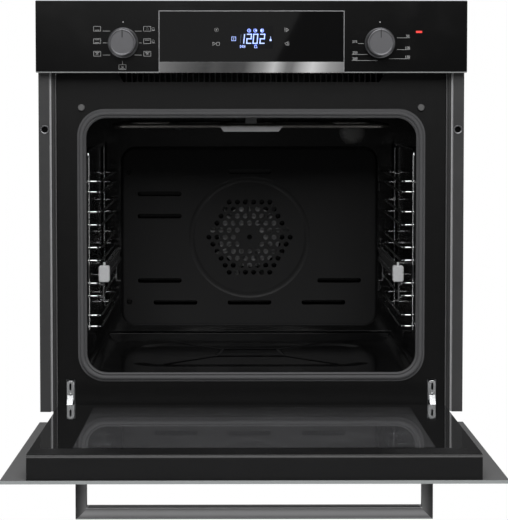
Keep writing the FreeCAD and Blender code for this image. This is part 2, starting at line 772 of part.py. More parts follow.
def slider():
    """The sliding bar inside the right-hand rail."""
    inner_x = rail_web_x - rail_thick
    z0 = rail_bottom + rail_sheet + rail_play
    z1 = rail_top - rail_sheet - rail_play
    x1 = rail_web_x - rail_sheet - rail_play
    bar = box(inner_x - 0.8, x1, rail_front - cap_gap, rail_front + rail_length - 8.0, z0, z1)
    groove = [box(inner_x - 2, inner_x + 0.8, rail_front + 18.0, rail_front + rail_length, z0 + 5.0, z1 - 5.0)]
    return cut_all(bar, groove)


def slider_cap():
    """The plastic cap on the slider's front end, with the peg that a tray hooks behind."""
    x0 = rail_web_x - rail_thick / 2 - cap_width / 2
    zc = (rail_bottom + rail_top) / 2
    y1 = rail_front - cap_gap
    body = box(x0, x0 + cap_width, y1 - cap_depth, y1, zc - cap_height / 2, zc + cap_height / 2)
    body = body.makeFillet(3.2, [e for e in body.Edges if e.BoundBox.YLength > cap_depth - 0.1])
    front = [e for e in body.Edges if e.BoundBox.YMax < y1 - cap_depth + 1e-6]
    body = body.makeFillet(1.6, front)
    peg = rod(1.8, (x0 + cap_width / 2, y1 - cap_depth / 2, zc + cap_height / 2 - 0.5), (0, 0, 1), 5.0)
    return fuse_all([body, peg])


# ---- outlet and blower ----
def outlet_louvre():
    """A comb of upright fins in the air outlet."""
    y0 = frame_sheet + 2.0
    y1 = y0 + louvre_depth
    w = outlet_half_width - 2.0
    low = outlet_bottom - sheet
    high = partition_z - 0.5
    parts = [box(-w, w, y0, y1, low - sheet, low), box(-w, w, y0, y1, high - 1.6, high)]
    for i in range(louvre_count):
        x = -w + 2.0 + i * (2 * w - 4.0) / (louvre_count - 1)
        parts.append(box(x - 0.8, x + 0.8, y0, y1, low, high - 1.6))
    return fuse_all(parts)


def blower_housing():
    """Scroll about the long wheel, open down into the duct and up to the compartment."""
    r = blower_radius + 8.0
    half = blower_length / 2 + 5.0
    drum = rod(r, (-half, blower_y, blower_z), (1, 0, 0), 2 * half)
    foot = box(-half, half, blower_y - 26.0, blower_y + 26.0, partition_z + sheet, blower_z)
    hollow = rod(r - 1.5, (-half + 1.5, blower_y, blower_z), (1, 0, 0), 2 * half - 3.0)
    throat = box(-half + 1.5, half - 1.5, blower_y - 24.0, blower_y + 24.0, partition_z - 1, blower_z)
    mouth = box(-half + 1.5, half - 1.5, blower_y + 4.0, blower_y + r + 1, blower_z + 8.0, blower_z + r + 1)
    ends = [rod(5.0, (-half - 1, blower_y, blower_z), (1, 0, 0), 2 * half + 2)]
    return cut_all(fuse_all([drum, foot]), [hollow, throat, mouth] + ends)


def blower_wheel():
    """Long wheel of narrow blades between two end rings, on the blower motor's shaft."""
    half = blower_length / 2
    parts = [rod(blower_radius, (x, blower_y, blower_z), (1, 0, 0), 2.0) for x in (-half, half - 2.0)]
    blade = box(-half + 1, half - 1, blower_y - 0.5, blower_y + 0.5, blower_z + blower_radius - 9.0,
                blower_z + blower_radius - 0.5)
    for i in range(blower_blades):
        turned = blade.copy()
        turned.rotate(FreeCAD.Vector(0, blower_y, blower_z), FreeCAD.Vector(1, 0, 0),
                      360.0 * i / blower_blades)
        parts.append(turned)
    parts.append(rod(blower_shaft / 2, (-half - 12.0, blower_y, blower_z), (1, 0, 0), blower_length + 60.0))
    return fuse_all(parts)


def blower_motor():
    x0 = blower_length / 2 + 8.0
    case = box(x0, x0 + 34.0, blower_y - 30.0, blower_y + 30.0, partition_z + sheet, blower_z + 26.0)
    bore = rod(blower_shaft / 2 + shaft_clearance, (x0 - 5, blower_y, blower_z), (1, 0, 0), 60.0)
    return case.cut(bore)


# ---- control panel ----
def control_fascia():
    plate = box(-half_front, half_front, front_y, glass_back_y, panel_bottom, front_height)
    tall = [e for e in plate.Edges if e.BoundBox.YLength > front_glass - 0.1]
    plate = plate.makeFillet(1.5, tall)
    opening_half = display_width / 2
    opening = box(-opening_half, opening_half, front_y - 1, glass_back_y + 1, panel_bottom - 1, display_top)
    shafts = [rod(shaft_diameter / 2 + 2.0, (s * knob_x, front_y - 1, knob_z), (0, 1, 0), 8) for s in (-1, 1)]
    lamp = lamp_bar(front_y - 1, glass_back_y + 1, 0.05)
    return cut_all(plate, [opening, lamp] + shafts)


def lamp_bar(y0, y1, grow):
    w = lamp_bar_width / 2 + grow
    h = lamp_bar_height / 2 + grow
    return box(lamp_bar_x - w, lamp_bar_x + w, y0, y1, lamp_bar_z - h, lamp_bar_z + h)


def indicator_lamp():
    return lamp_bar(front_y - 0.4, glass_back_y + 4.0, 0)


def display_trim():
    """Bright line round the left, top and right of the display."""
    half = display_width / 2
    outer = box(-half, half, front_y - 0.5, glass_back_y, panel_bottom, display_top)
    inner = box(-half + trim_line, half - trim_line, front_y - 2, glass_back_y + 1, panel_bottom - 1,
                display_top - trim_line)
    return outer.cut(inner)


def display_glass():
    half = display_width / 2 - trim_line
    plate = box(-half, half, front_y, glass_back_y, panel_bottom + band_height, display_top - trim_line)
    w = window_width / 2
    window = box(-w, w, front_y - 1, glass_back_y + 1, window_bottom, window_bottom + window_height)
    return plate.cut(window)


def display_window():
    w = window_width / 2
    return box(-w, w, front_y + 0.4, glass_back_y + 2.0, window_bottom, window_bottom + window_height)


def accent_band():
    half = display_width / 2 - trim_line
    bar = box(-half, half, front_y - 0.5, glass_back_y, panel_bottom, panel_bottom + band_height)
    long_edges = [e for e in bar.Edges if e.BoundBox.XLength > half and e.BoundBox.YMax < front_y]
    return bar.makeFillet(0.4, long_edges)


def fascia_carrier():
    """Steel tray behind the panel that the switches and the timer are fixed to."""
    half = half_front - carrier_inset
    z0 = panel_bottom + 4.0
    z1 = inner_top_z - 2.0
    wall_y = carrier_wall_y
    tray = box(-half, half, glass_back_y, 0, z0, z1)
    hollow = box(-half + sheet, half - sheet, wall_y + sheet, 1, z0 + sheet, z1 - sheet)
    front = box(-half + sheet, half - sheet, glass_back_y - 1, wall_y, z0 + sheet, z1 - sheet)
    shafts = [rod(shaft_diameter / 2 + 2.0, (s * knob_x, wall_y - 1, knob_z), (0, 1, 0), 4) for s in (-1, 1)]
    return cut_all(tray, [hollow, front] + shafts)


def rotary_body(x):
    """A rotary control behind the tray, bored for its knob's shaft."""
    y0 = carrier_wall_y + sheet
    half = switch_size / 2
    body = box(x - half, x + half, y0, y0 + switch_depth, knob_z - half + 8, knob_z + half - 8)
    bush = rod(shaft_diameter / 2 + 1.8, (x, y0 - 6.0, knob_z), (0, 1, 0), 8.0)
    bore = rod(shaft_diameter / 2 + shaft_clearance, (x, y0 - 8.0, knob_z), (0, 1, 0), 30.0)
    return fuse_all([body, bush]).cut(bore)


def function_switch():
    return rotary_body(-knob_x)


def thermostat():
    """Thermostat body with its sensing bulb clipped to the cavity's back wall."""
    z = mouth_top - 20.0
    y = cavity_depth - 6.0
    bulb = rod(2.6, (-174.0, y, z), (1, 0, 0), 68.0)
    clips = []
    for x in (-165.0, -116.0):
        clips.append(rod(4.6, (x - 4.0, y, z), (1, 0, 0), 8.0))
        clips.append(box(x - 3.0, x + 3.0, y, cavity_depth, z - 2.0, z + 2.0))
    return group([rotary_body(knob_x), fuse_all([bulb] + clips)])


def timer_board():
    """Circuit board with the clock's screen, two relays and four posts to the steel tray."""
    screen_y = glass_back_y + 2.0
    board_y = screen_y + 6.0
    back_y = board_y + board_thick
    low = front_height - board_drop
    high = low + board_height
    half = window_width / 2 + 3
    board = box(-board_half, board_half, board_y, back_y, low, high)
    screen = box(-half, half, screen_y, board_y, window_bottom - 3, window_bottom + window_height + 3)
    relay = [box(x, x + 18.0, back_y, back_y + 12.4, low + 6.0, low + 22.0) for x in (-50.0, 32.0)]
    posts = [rod(2.5, (s * (board_half - 5.0), back_y, z), (0, 1, 0), carrier_wall_y - back_y)
             for s in (-1, 1) for z in (low + 5.0, high - 5.0)]
    return fuse_all([board, screen] + relay + posts)


def knob():
    """Turned knob at the left place, with a grip groove, a pointer notch and its shaft."""
    y1 = front_y - knob_gap
    r0 = knob_skirt / 2
    r1 = knob_face / 2
    skirt = rod(r0, (-knob_x, y1 - 3.0, knob_z), (0, 1, 0), 3.0)
    cone = Part.makeCone(r1, r1 + 1.2, knob_depth - 3.0, FreeCAD.Vector(-knob_x, y1 - knob_depth, knob_z),
                         FreeCAD.Vector(0, 1, 0))
    rim = [e for e in cone.Edges if abs(e.BoundBox.YMax - y1 + knob_depth) < 1e-6]
    cone = cone.makeFillet(1.2, rim)
    edge = [e for e in skirt.Edges if abs(e.BoundBox.YMax - y1 + 3.0) < 1e-6]
    skirt = skirt.makeFillet(1.0, edge)
    notch = box(-knob_x - 1.2, -knob_x + 1.2, y1 - knob_depth - 1, y1 - knob_depth + 1.2,
                knob_z + r1 * 0.34, knob_z + r1 * 0.9)
    shaft = rod(shaft_diameter / 2, (-knob_x, y1 - 6.0, knob_z), (0, 1, 0), knob_gap + 52.0)
    return fuse_all([skirt, cone, shaft]).cut(notch)


# ---- services ----
def terminal_block():
    """Mains terminals inside the rear cover, with the inlet bush for the supply cable."""
    y1 = body_depth - sheet
    block = box(inlet_x - 30, inlet_x + 30, y1 - 24, y1 - 6, inlet_z - 30, inlet_z - 12)
    foot = box(inlet_x - 30, inlet_x + 30, y1 - 6, y1, inlet_z - 26, inlet_z - 16)
    screws = [rod(2.2, (inlet_x + dx, y1 - 26, inlet_z - 21), (0, 1, 0), 4) for dx in (-18, 0, 18)]
    ring = rod(inlet_radius - 0.2, (inlet_x, y1 - 4, inlet_z), (0, 1, 0), 8)
    rim = rod(inlet_radius + 2.4, (inlet_x, y1 - 4, inlet_z), (0, 1, 0), 4)
    bore = rod(5.0, (inlet_x, y1 - 8, inlet_z), (0, 1, 0), 16)
    bush = fuse_all([ring, rim]).cut(bore)
    return group([cut_all(fuse_all([block, foot]), screws), bush])


# ---- hinges ----
def hinge_receivers():
    """Bracket behind each frame slot that the hinge arm hooks into."""
    inner = arm_half + side_play
    outer = inner + 1.6
    y0 = frame_sheet
    y1 = y0 + 56.0
    shell = box(hinge_x - outer, hinge_x + outer, y0, y1, slot_bottom - 3, slot_top + 3)
    hollow = box(hinge_x - inner, hinge_x + inner, y0 - 1, y1 - 2, slot_bottom - 1, slot_top + 1)
    room = box(hinge_x - outer + 0.4, hinge_x + outer - 0.4, y0 - 1, y0 + 12.0, slot_bottom + 8, slot_top + 1)
    bracket = cut_all(shell, [hollow, room])
    ears = box(hinge_x - outer - 9, hinge_x + outer, y0, y0 + 1.6, slot_bottom - 3, slot_bottom + 6)
    bracket = fuse_all([bracket, ears.cut(hollow)])
    return group([bracket, mirrored(bracket)])


def hinge_arms():
    """Arm from the receiver, out through the frame slot and down to the pin."""
    x0 = hinge_x - arm_half
    x1 = hinge_x + arm_half
    outline = [(pivot_y + 2.0, pivot_z - 6.2), (-8.0, slot_bottom + 1.0), (50.0, slot_bottom + 1.0),
               (50.0, 50.0), (40.0, 50.0), (40.0, 42.0), (30.0, 42.0), (30.0, 50.0),
               (0.0, 48.0), (pivot_y - 1.0, pivot_z + 6.4)]
    bar = prism_yz(outline, x0, x1)
    eye = rod(eye_radius, (x0, pivot_y, pivot_z), (1, 0, 0), 2 * arm_half)
    bore = rod(pin_radius + shaft_clearance, (x0 - 1, pivot_y, pivot_z), (1, 0, 0), 2 * arm_half + 2)
    axle = rod(2.0, (x0 - side_play - lever_sheet, lever_y, lever_z), (1, 0, 0),
               2 * (arm_half + side_play + lever_sheet))
    arm = fuse_all([bar, eye, axle]).cut(bore)
    return group([arm, mirrored(arm)])


def hinge_lever():
    """Locking lever that straddles the right arm and turns on its stub axle."""
    inner = arm_half + side_play
    outer = inner + lever_sheet
    outline = [(lever_y - 5.0, lever_z - 4.0), (lever_y + 4.0, lever_z - 5.0), (lever_y + 4.5, lever_z + 4.0),
               (lever_y + 1.0, slot_top - 2.0), (-6.4, slot_top - 1.0), (-6.4, lever_z + 7.0)]
    body = prism_yz(outline, hinge_x - outer, hinge_x + outer)
    hollow = box(hinge_x - inner, hinge_x + inner, -5.2, 20.0, 0, slot_top - 3.0)
    under = box(hinge_x - inner, hinge_x + inner, -20.0, 20.0, 0, lever_z + 12.0)
    bore = rod(2.0 + shaft_clearance, (hinge_x - outer - 1, lever_y, lever_z), (1, 0, 0), 2 * outer + 2)
    return cut_all(body, [hollow, under, bore])


def hinge_channels():
    """U-shaped channel in each side of the door, with the riveted hinge pin."""
    inner = arm_half + side_play + lever_sheet + side_play
    outer = inner + channel_sheet
    y0 = glass_back_y + door_sheet
    y1 = inner_glass_back - inner_glass - door_step_depth
    z0 = door_foot_gap + 4.0
    z1 = z0 + channel_length
    shell = box(hinge_x - outer, hinge_x + outer, y0, y1, z0, z1)
    hollow = box(hinge_x - inner, hinge_x + inner, y0 + channel_sheet, y1 + 1, z0 - 1, z1 - channel_sheet)
    pin = rod(pin_radius, (hinge_x - outer, pivot_y, pivot_z), (1, 0, 0), 2 * outer)
    channel = fuse_all([shell.cut(hollow), pin])
    return group([opened(channel), opened(mirrored(channel))])


def hinge_springs():
    """Coil spring in each channel that balances the door."""
    y = (glass_back_y + door_sheet + channel_sheet + inner_glass_back - inner_glass - door_step_depth) / 2
    coil = 4.4
    wire = 0.9
    pitch = 3.4
    turns = 18
    helix = Part.makeHelix(pitch, pitch * turns, coil - wire)
    ring = Part.Wire(Part.makeCircle(wire, FreeCAD.Vector(coil - wire, 0, 0), FreeCAD.Vector(0, 1, 0)))
    spring = Part.Wire(helix).makePipeShell([ring], True, True)
    spring.translate(FreeCAD.Vector(hinge_x, y, door_foot_gap + 60.0))
    return group([opened(spring), opened(mirrored(spring))])


# ---- door ----
def door_outer_glass():
    pane = box(-half_front, half_front, front_y, glass_back_y, door_foot_gap, door_top)
    corners = [e for e in pane.Edges if e.BoundBox.YLength > front_glass - 0.1]
    return opened(pane.makeFillet(1.5, corners))


def door_middle_glass():
    half = door_half - rail_flange
    return opened(box(-half, half, pane_y, pane_y + middle_glass, inner_glass_bottom + 10, inner_glass_top - 6))


def door_inner_glass():
    y0 = inner_glass_back - inner_glass
    return opened(box(-door_half, door_half, y0, inner_glass_back, inner_glass_bottom, inner_glass_top))


def door_side_rails():
    """C-shaped rail up each side of the door, between the front glass and the inner glass."""
    x1 = door_half - 1.0
    x0 = x1 - rail_flange
    y0 = glass_back_y
    y1 = inner_glass_back - inner_glass
    z0 = inner_glass_bottom
    z1 = inner_glass_top
    web = box(x1 - door_sheet, x1, y0, y1, z0, z1)
    flanges = [box(x0, x1, y, y + door_sheet, z0, z1) for y in (y0, y1 - door_sheet)]
    lips = [box(x0 - 2.0, x0 + door_sheet, y, y + door_sheet, z0 + 4, z1 - 4)
            for y in (pane_y - door_sheet, pane_y + middle_glass)]
    ties = [box(x0, x0 + door_sheet, y0, pane_y, z0 + 4, z1 - 4),
            box(x0, x0 + door_sheet, pane_y + middle_glass, y1, z0 + 4, z1 - 4)]
    rail = fuse_all([web] + flanges + lips + ties)
    return group([opened(rail), opened(mirrored(rail))])


def door_bottom_rail():
    """Foot of the door: a shallower trough below the inner glass, notched at both hinges."""
    half = door_half - 1.0
    y0 = glass_back_y
    y1 = inner_glass_back - door_step_depth
    z0 = door_foot_gap + 2.0
    z1 = inner_glass_bottom
    solid = box(-half, half, y0, y1, z0, z1)
    back_edge = [e for e in solid.Edges if e.BoundBox.XLength > half and e.BoundBox.YMin > y1 - 0.1
                 and e.BoundBox.ZMax < z0 + 0.1]
    solid = solid.makeFillet(2.5, back_edge)
    hollow = box(-half + door_sheet, half - door_sheet, y0 + door_sheet, y1 - door_sheet, z0 + door_sheet, z1 + 1)
    notch_half = arm_half + 2 * side_play + lever_sheet + channel_sheet + 1.2
    notches = [box(s * hinge_x - notch_half, s * hinge_x + notch_half, y0 + door_sheet, y1 + 1, z0 - 1, z1 + 1)
               for s in (-1, 1)]
    return opened(cut_all(solid, [hollow] + notches))


def door_top_rail():
    """Hollow cap along the door's upper edge with a rounded inner edge and a row of air slots."""
    half = door_half
    y0 = glass_back_y
    y1 = inner_glass_back
    z0 = inner_glass_top
    z1 = door_top - door_top_setback
    solid = box(-half, half, y0, y1, z0, z1)
    edge = [e for e in solid.Edges if e.BoundBox.XLength > half and e.BoundBox.YMin > y1 - 0.1
            and e.BoundBox.ZMin > z1 - 0.1]
    solid = solid.makeFillet(4.5, edge)
    wall = 2.0
    hollow = box(-half + wall, half - wall, y0 + wall, y1 - wall, z0 + wall, z1 - wall)
    hollow = hollow.makeFillet(2.4, [e for e in hollow.Edges if e.BoundBox.XLength > half
                                     and e.BoundBox.YMin > y1 - wall - 0.1 and e.BoundBox.ZMin > z1 - wall - 0.1])
    slots = [box(x, x + 34.0, y0 + wall, y1 - 8.0, z0 - 1, z0 + wall + 1)
             for x in [-half + 30.0 + 60.0 * i for i in range(8)]]
    return opened(cut_all(solid, [hollow] + slots))


def door_handle():
    """Square-cornered bow: a rounded bar and two posts with mitred corners."""
    half = handle_width / 2
    z1 = door_top - handle_below_top
    z0 = z1 - handle_bar
    depth = handle_clear + handle_bar
    y0 = front_y - depth
    outer = box(-half, half, y0, front_y, z0, z1)
    inner = box(-half + handle_post, half - handle_post, y0 + handle_bar, front_y + 1, z0 - 1, z1 + 1)
    bow = outer.cut(inner)
    long_edges = [e for e in bow.Edges if e.BoundBox.XLength > half and e.BoundBox.YMax < y0 + handle_bar + 0.1]
    return opened(bow.makeFillet(2.6, long_edges))


NODES = {
    "base_plate": base_plate,
    "side_panels": side_panels,
    "top_cover": top_cover,
    "rear_cover": rear_cover,
    "partition_plate": partition_plate,
    "front_frame": front_frame,
    "side_trims": side_trims,
    "trim_grommets": trim_grommets,
    "cavity_wrapper": cavity_wrapper,
    "cavity_back": cavity_back,
    "insulation": insulation,
    "door_gasket": door_gasket,
    "door_bumpers": door_bumpers,
    "fan_cover": fan_cover,
    "cover_screws": cover_screws,
    "fan_wheel": fan_wheel,
    "fan_motor": fan_motor,
    "ring_heater": ring_heater,
    "grill_elements": grill_elements,
    "element_bracket": element_bracket,
    "bottom_element": bottom_element,
    "lamp_lens": lamp_lens,
    "lamp_bulb": lamp_bulb,
    "lamp_socket": lamp_socket,
    "side_racks": side_racks,
    "fixed_rails": fixed_rails,
    "slider_right": slider,
    "slider_left": lambda: mirrored(slider()),
    "slider_cap_right": slider_cap,
    "slider_cap_left": lambda: mirrored(slider_cap()),
    "outlet_louvre": outlet_louvre,
    "blower_housing": blower_housing,
    "blower_wheel": blower_wheel,
    "blower_motor": blower_motor,
    "control_fascia": control_fascia,
    "display_trim": display_trim,
    "display_glass": display_glass,
    "display_window": display_window,
    "accent_band": accent_band,
    "fascia_carrier": fascia_carrier,
    "indicator_lamp": indicator_lamp,
    "function_switch": function_switch,
    "thermostat": thermostat,
    "timer_board": timer_board,
    "function_knob": knob,
    "temperature_knob": lambda: mirrored(knob()),
    "terminal_block": terminal_block,
    "hinge_receivers": hinge_receivers,
    "hinge_arms": hinge_arms,
    "hinge_lever_right": hinge_lever,
    "hinge_lever_left": lambda: mirrored(hinge_lever()),
    "hinge_channels": hinge_channels,
    "hinge_springs": hinge_springs,
    "door_outer_glass": door_outer_glass,
    "door_middle_glass": door_middle_glass,
    "door_inner_glass": door_inner_glass,
    "door_side_rails": door_side_rails,
    "door_bottom_rail": door_bottom_rail,
    "door_top_rail": door_top_rail,
    "door_handle": door_handle,
}

os.makedirs("parts", exist_ok=True)
for name, make in NODES.items():
    shape = make()
    if not shape.isValid() or shape.Volume <= 0:
        raise ValueError(name + " is not a valid solid")
    shape.exportStep("parts/" + name + ".step")
    print(name, len(shape.Solids), round(shape.Volume / 1000.0, 1))
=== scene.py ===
"""A built-in oven with its door open: racks, seal, knobs, markings and finishes round the frame."""

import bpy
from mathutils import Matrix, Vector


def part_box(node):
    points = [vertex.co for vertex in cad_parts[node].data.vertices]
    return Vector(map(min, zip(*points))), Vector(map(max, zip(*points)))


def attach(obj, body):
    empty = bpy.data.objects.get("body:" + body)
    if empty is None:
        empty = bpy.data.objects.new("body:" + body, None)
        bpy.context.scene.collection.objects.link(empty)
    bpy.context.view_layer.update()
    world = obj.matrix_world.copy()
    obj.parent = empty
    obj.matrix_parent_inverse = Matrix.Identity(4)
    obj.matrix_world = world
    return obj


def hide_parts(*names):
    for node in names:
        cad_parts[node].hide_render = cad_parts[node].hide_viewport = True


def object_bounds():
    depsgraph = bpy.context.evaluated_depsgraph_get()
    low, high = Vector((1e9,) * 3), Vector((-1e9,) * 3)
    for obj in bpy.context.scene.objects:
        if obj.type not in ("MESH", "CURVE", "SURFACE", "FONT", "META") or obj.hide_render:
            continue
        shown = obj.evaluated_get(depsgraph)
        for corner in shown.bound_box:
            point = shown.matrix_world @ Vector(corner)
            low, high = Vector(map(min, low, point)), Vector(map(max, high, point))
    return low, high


bl_info = {
    "name": "Built-in Oven",
    "version": (1, 0, 0),
    "blender": (4, 5, 0),
    "location": "3D View > Sidebar > Oven",
    "description": "Racks, heating loops, seal, knobs, markings and finishes of a built-in oven",
    "category": "Object",
}

import math

import bmesh
import bpy
from bpy.props import FloatProperty, FloatVectorProperty, IntProperty, PointerProperty
from mathutils import Matrix, Vector

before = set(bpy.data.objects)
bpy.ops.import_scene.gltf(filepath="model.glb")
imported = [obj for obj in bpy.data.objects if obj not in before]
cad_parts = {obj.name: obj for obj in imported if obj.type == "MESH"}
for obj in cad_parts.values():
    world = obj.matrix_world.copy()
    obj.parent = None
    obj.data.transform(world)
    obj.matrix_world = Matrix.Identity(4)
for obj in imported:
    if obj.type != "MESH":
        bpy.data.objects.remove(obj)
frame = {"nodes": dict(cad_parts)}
cad_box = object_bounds()

MM = 0.001
FRONT = -42.0 * MM            # face of the control panel and of the closed door's glass
PANEL_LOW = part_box("control_fascia")[0].z
MOUTH_LOW = 74.0 * MM
MOUTH_HIGH = 432.7 * MM
MOUTH_HALF = 231.5 * MM
KNOB_X = 177.0 * MM
KNOB_Z = 536.7 * MM
FAN_Z = 237.7 * MM
BUSH_X = 287.6 * MM           # the bushes for the cabinet's screws
BUSH_Z = 416.9 * MM
STRIP_HALF = 127.0 * MM       # half the length of the polished strip below the display
SCREW_RADIUS = 4.2 * MM
SCREW_HEIGHT = 1.8 * MM

# Heights of the two wires that hold a tray, from the top level down, in millimetres
RACK_LEVELS = ((341.8, 326.6), (298.1, 279.4), (247.2, 228.6), (196.0, 177.7), (150.0, 134.1))

# The right half of each heating loop as (x, y), from the front to the back wall, in millimetres
GRILL_OUTER = ((196.0, 52.0), (196.0, 384.0), (60.0, 384.0), (60.0, 431.0))
GRILL_INNER = ((44.0, 290.0), (44.0, 104.0), (120.0, 104.0), (120.0, 340.0), (24.0, 340.0), (24.0, 431.0))

# Rows and columns of the symbols round the left knob, in millimetres
ICON_ROWS = (556.0, 539.0, 521.7)
ICON_LEFT = -212.8
ICON_RIGHT = -143.8
ICON_BELOW = -178.0
TOUCH_RIGHT = 48.6

# Each segment of a digit as two ends in a unit square, and the segments that each digit lights
STROKES = {"a": ((0, 1), (1, 1)), "b": ((1, 1), (1, 0.5)), "c": ((1, 0.5), (1, 0)), "d": ((0, 0), (1, 0)),
           "e": ((0, 0.5), (0, 0)), "f": ((0, 1), (0, 0.5)), "g": ((0, 0.5), (1, 0.5))}
SEGMENTS = {"0": "abcdef", "2": "abged"}

# Carried pieces whose finish differs from the others in their slot
OWN_FINISH = {
    "door_inner_glass": "inner_pane",
    "door_outer_glass": "door_pane",
    "display_glass": "display_pane",
    "display_trim": "trim_metal",
    "cover_screws": "dark_screw",
    "element_bracket": "bracket_steel",
    "trim_grommets": "bush_metal",
    "fan_motor": "dark_steel",
    "fan_wheel": "wheel_metal",
}

# Stretches of a noise that give scratches along one direction
LENGTHWISE = (30.0, 2600.0, 2600.0)
DEPTHWISE = (2600.0, 30.0, 2600.0)
UPWARD = (2600.0, 2600.0, 40.0)

WHITE = (1.0, 1.0, 1.0, 1.0)
FLECK = (0.35, 0.36, 0.38)    # pale fleck in enamel

# Lights: name, place, aim, width, height, radiance, roll
MIDDLE = (0.0, 0.0, 0.25)
LIGHTS = (
    ("left_box", (-2.6, -0.35, 0.6), MIDDLE, 0.6, 1.8, 3.0, 0.0),
    ("right_box", (2.6, -0.35, 0.6), MIDDLE, 0.6, 1.8, 3.0, 0.0),
    ("top_box", (0.0, -3.0, 2.15), MIDDLE, 2.6, 2.2, 4.0, 0.0),
    ("ceiling_box", (0.0, -0.5, 3.0), (0.0, -0.5, 0.0), 2.4, 0.9, 4.0, 0.0),
    ("front_box", (-0.40, -3.3, 0.91), (-0.40, 0.0, 0.91), 1.2, 0.58, 0.28, math.radians(-26.9)),
)


# --------------------------------------------------------------------------------------------------------
# Sizes and colours
# --------------------------------------------------------------------------------------------------------
def length(label, text, default):
    """A length in millimetres as a property in metres."""
    return FloatProperty(name=label, description=text, default=default * MM, min=0.0, unit="LENGTH",
                         subtype="DISTANCE")


def colour(label, text, default):
    """A colour as a property."""
    return FloatVectorProperty(name=label, description=text, default=default, size=3, min=0.0, max=1.0,
                               subtype="COLOR")


class OvenRackSizes(bpy.types.PropertyGroup):
    """The wire racks on the cavity's side walls."""

    wire: length("Tray wire", "Diameter of the wires that trays slide on", 3.4)
    post: length("Post", "Diameter of the upright posts", 4.0)
    bend: length("Bend", "Radius at the wires' front and rear corners", 9.0)
    inner: length("Inner run", "Distance of the tray wires from the middle plane", 214.0)
    upright: length("Post line", "Distance of the posts from the middle plane", 232.3)
    front: length("Front", "Distance of the front post behind the frame", 45.0)
    rear: length("Rear", "Distance of the rear post behind the frame", 390.0)
    wall: length("Wall", "Distance of the pegs' ends from the middle plane", 235.3)
    crown: length("Crown", "Height of the wire that joins the posts' tops", 387.0)
    weld: length("Weld", "Radius of the weld bead at each joint of the wires", 2.5)
    sides: IntProperty(name="Sides", description="Flats round each wire", default=12, min=6, max=32)


class OvenHeaterSizes(bpy.types.PropertyGroup):
    """The grill's heating loops under the cavity's ceiling."""

    tube: length("Tube", "Diameter of the heating tube", 6.5)
    bend: length("Bend", "Radius at the loops' corners", 18.0)
    drop: length("Drop", "Tube's centre below the ceiling", 12.0)
    sides: IntProperty(name="Sides", description="Flats round the tube", default=18, min=8, max=32)


class OvenSealSizes(bpy.types.PropertyGroup):
    """The seal round the oven's mouth."""

    band: length("Band", "Width of the seal", 12.7)
    proud: length("Height", "How far the seal stands out from the frame", 6.5)
    inner_corner: length("Inner corner", "Radius of the mouth's corners", 28.0)
    outer_corner: length("Outer corner", "Radius of the seal's outer corners", 38.0)


class OvenKnobSizes(bpy.types.PropertyGroup):
    """The two turned knobs."""

    skirt: length("Skirt", "Diameter of the flange against the panel", 42.0)
    face: length("Face", "Diameter of the knob's front", 37.0)
    depth: length("Depth", "Height of the knob from its flange's back", 25.0)
    gap: length("Gap", "Clearance between the flange and the panel", 0.8)
    groove: length("Groove", "Pitch of the turned grooves on the face", 0.42)
    groove_depth: length("Groove depth", "Depth of the turned grooves", 0.04)
    steps: IntProperty(name="Steps", description="Steps round the knob", default=96, min=24, max=256)


class OvenFinishes(bpy.types.PropertyGroup):
    """Base colours of the main finishes."""

    frame: colour("Frame enamel", "Satin enamel of the frame round the mouth", (0.0050, 0.0050, 0.0051))
    cavity: colour("Cavity enamel", "Gloss enamel of the oven's inside", (0.0030, 0.0030, 0.0034))
    cover: colour("Fan cover", "Satin enamel of the fan cover", (0.0170, 0.0170, 0.0175))
    trim: colour("Trim", "Powder coat of the side trims", (0.070, 0.070, 0.071))
    fascia: colour("Panel glass", "Print behind the control panel's glass", (0.0022, 0.0022, 0.0023))
    door: colour("Door glass", "Print behind the door's front glass", (0.0035, 0.0035, 0.0040))
    zinc: colour("Zinc", "Zinc-coated sheet of the casing", (0.50, 0.51, 0.52))
    handle: colour("Handle", "Brushed metal of the handle", (0.30, 0.30, 0.305))
    knob: colour("Knob", "Turned metal of the knobs", (0.012, 0.012, 0.0125))
    print: colour("Print", "Pale print on the panel", (0.62, 0.62, 0.62))
    digits: colour("Digits", "Light of the clock's digits", (0.46, 0.58, 1.0))


class OvenStage(bpy.types.PropertyGroup):
    """The floor, the lights and the camera."""

    floor_drop: length("Floor drop", "Floor below the object's lowest point", 560.0)
    camera_place: FloatVectorProperty(name="Camera", description="Where the camera stands", size=3,
                                      default=(-0.0216854, -2.8453971, 0.4669474), unit="LENGTH",
                                      subtype="TRANSLATION")
    pitch: FloatProperty(name="Pitch", description="How far the camera looks down",
                         default=math.radians(3.231), unit="ROTATION", subtype="ANGLE")
    turn: FloatProperty(name="Turn", description="How far the camera turns to the right",
                        default=math.radians(0.511), unit="ROTATION", subtype="ANGLE")
    lens: FloatProperty(name="Lens", description="Focal length in millimetres on a 36 mm sensor",
                        default=140.383, min=1.0)
    rise: FloatProperty(name="Rise", description="Vertical shift of the lens", default=-0.10)


# --------------------------------------------------------------------------------------------------------
# Nodes
# --------------------------------------------------------------------------------------------------------
def add_node(tree, kind, settings, sockets):
    """A node of any kind. Settings are set first, then each socket gets its value or its link."""
    node = tree.nodes.new(kind)
    for key, value in settings.items():
        if key == "stops":
            set_stops(node.color_ramp, value)
        else:
            setattr(node, key, value)
    for place, value in sockets.items():
        if isinstance(value, Link):
            tree.links.new(value.socket, node.inputs[place])
        elif isinstance(value, bpy.types.NodeSocket):
            tree.links.new(value, node.inputs[place])
        else:
            node.inputs[place].default_value = value
    return node


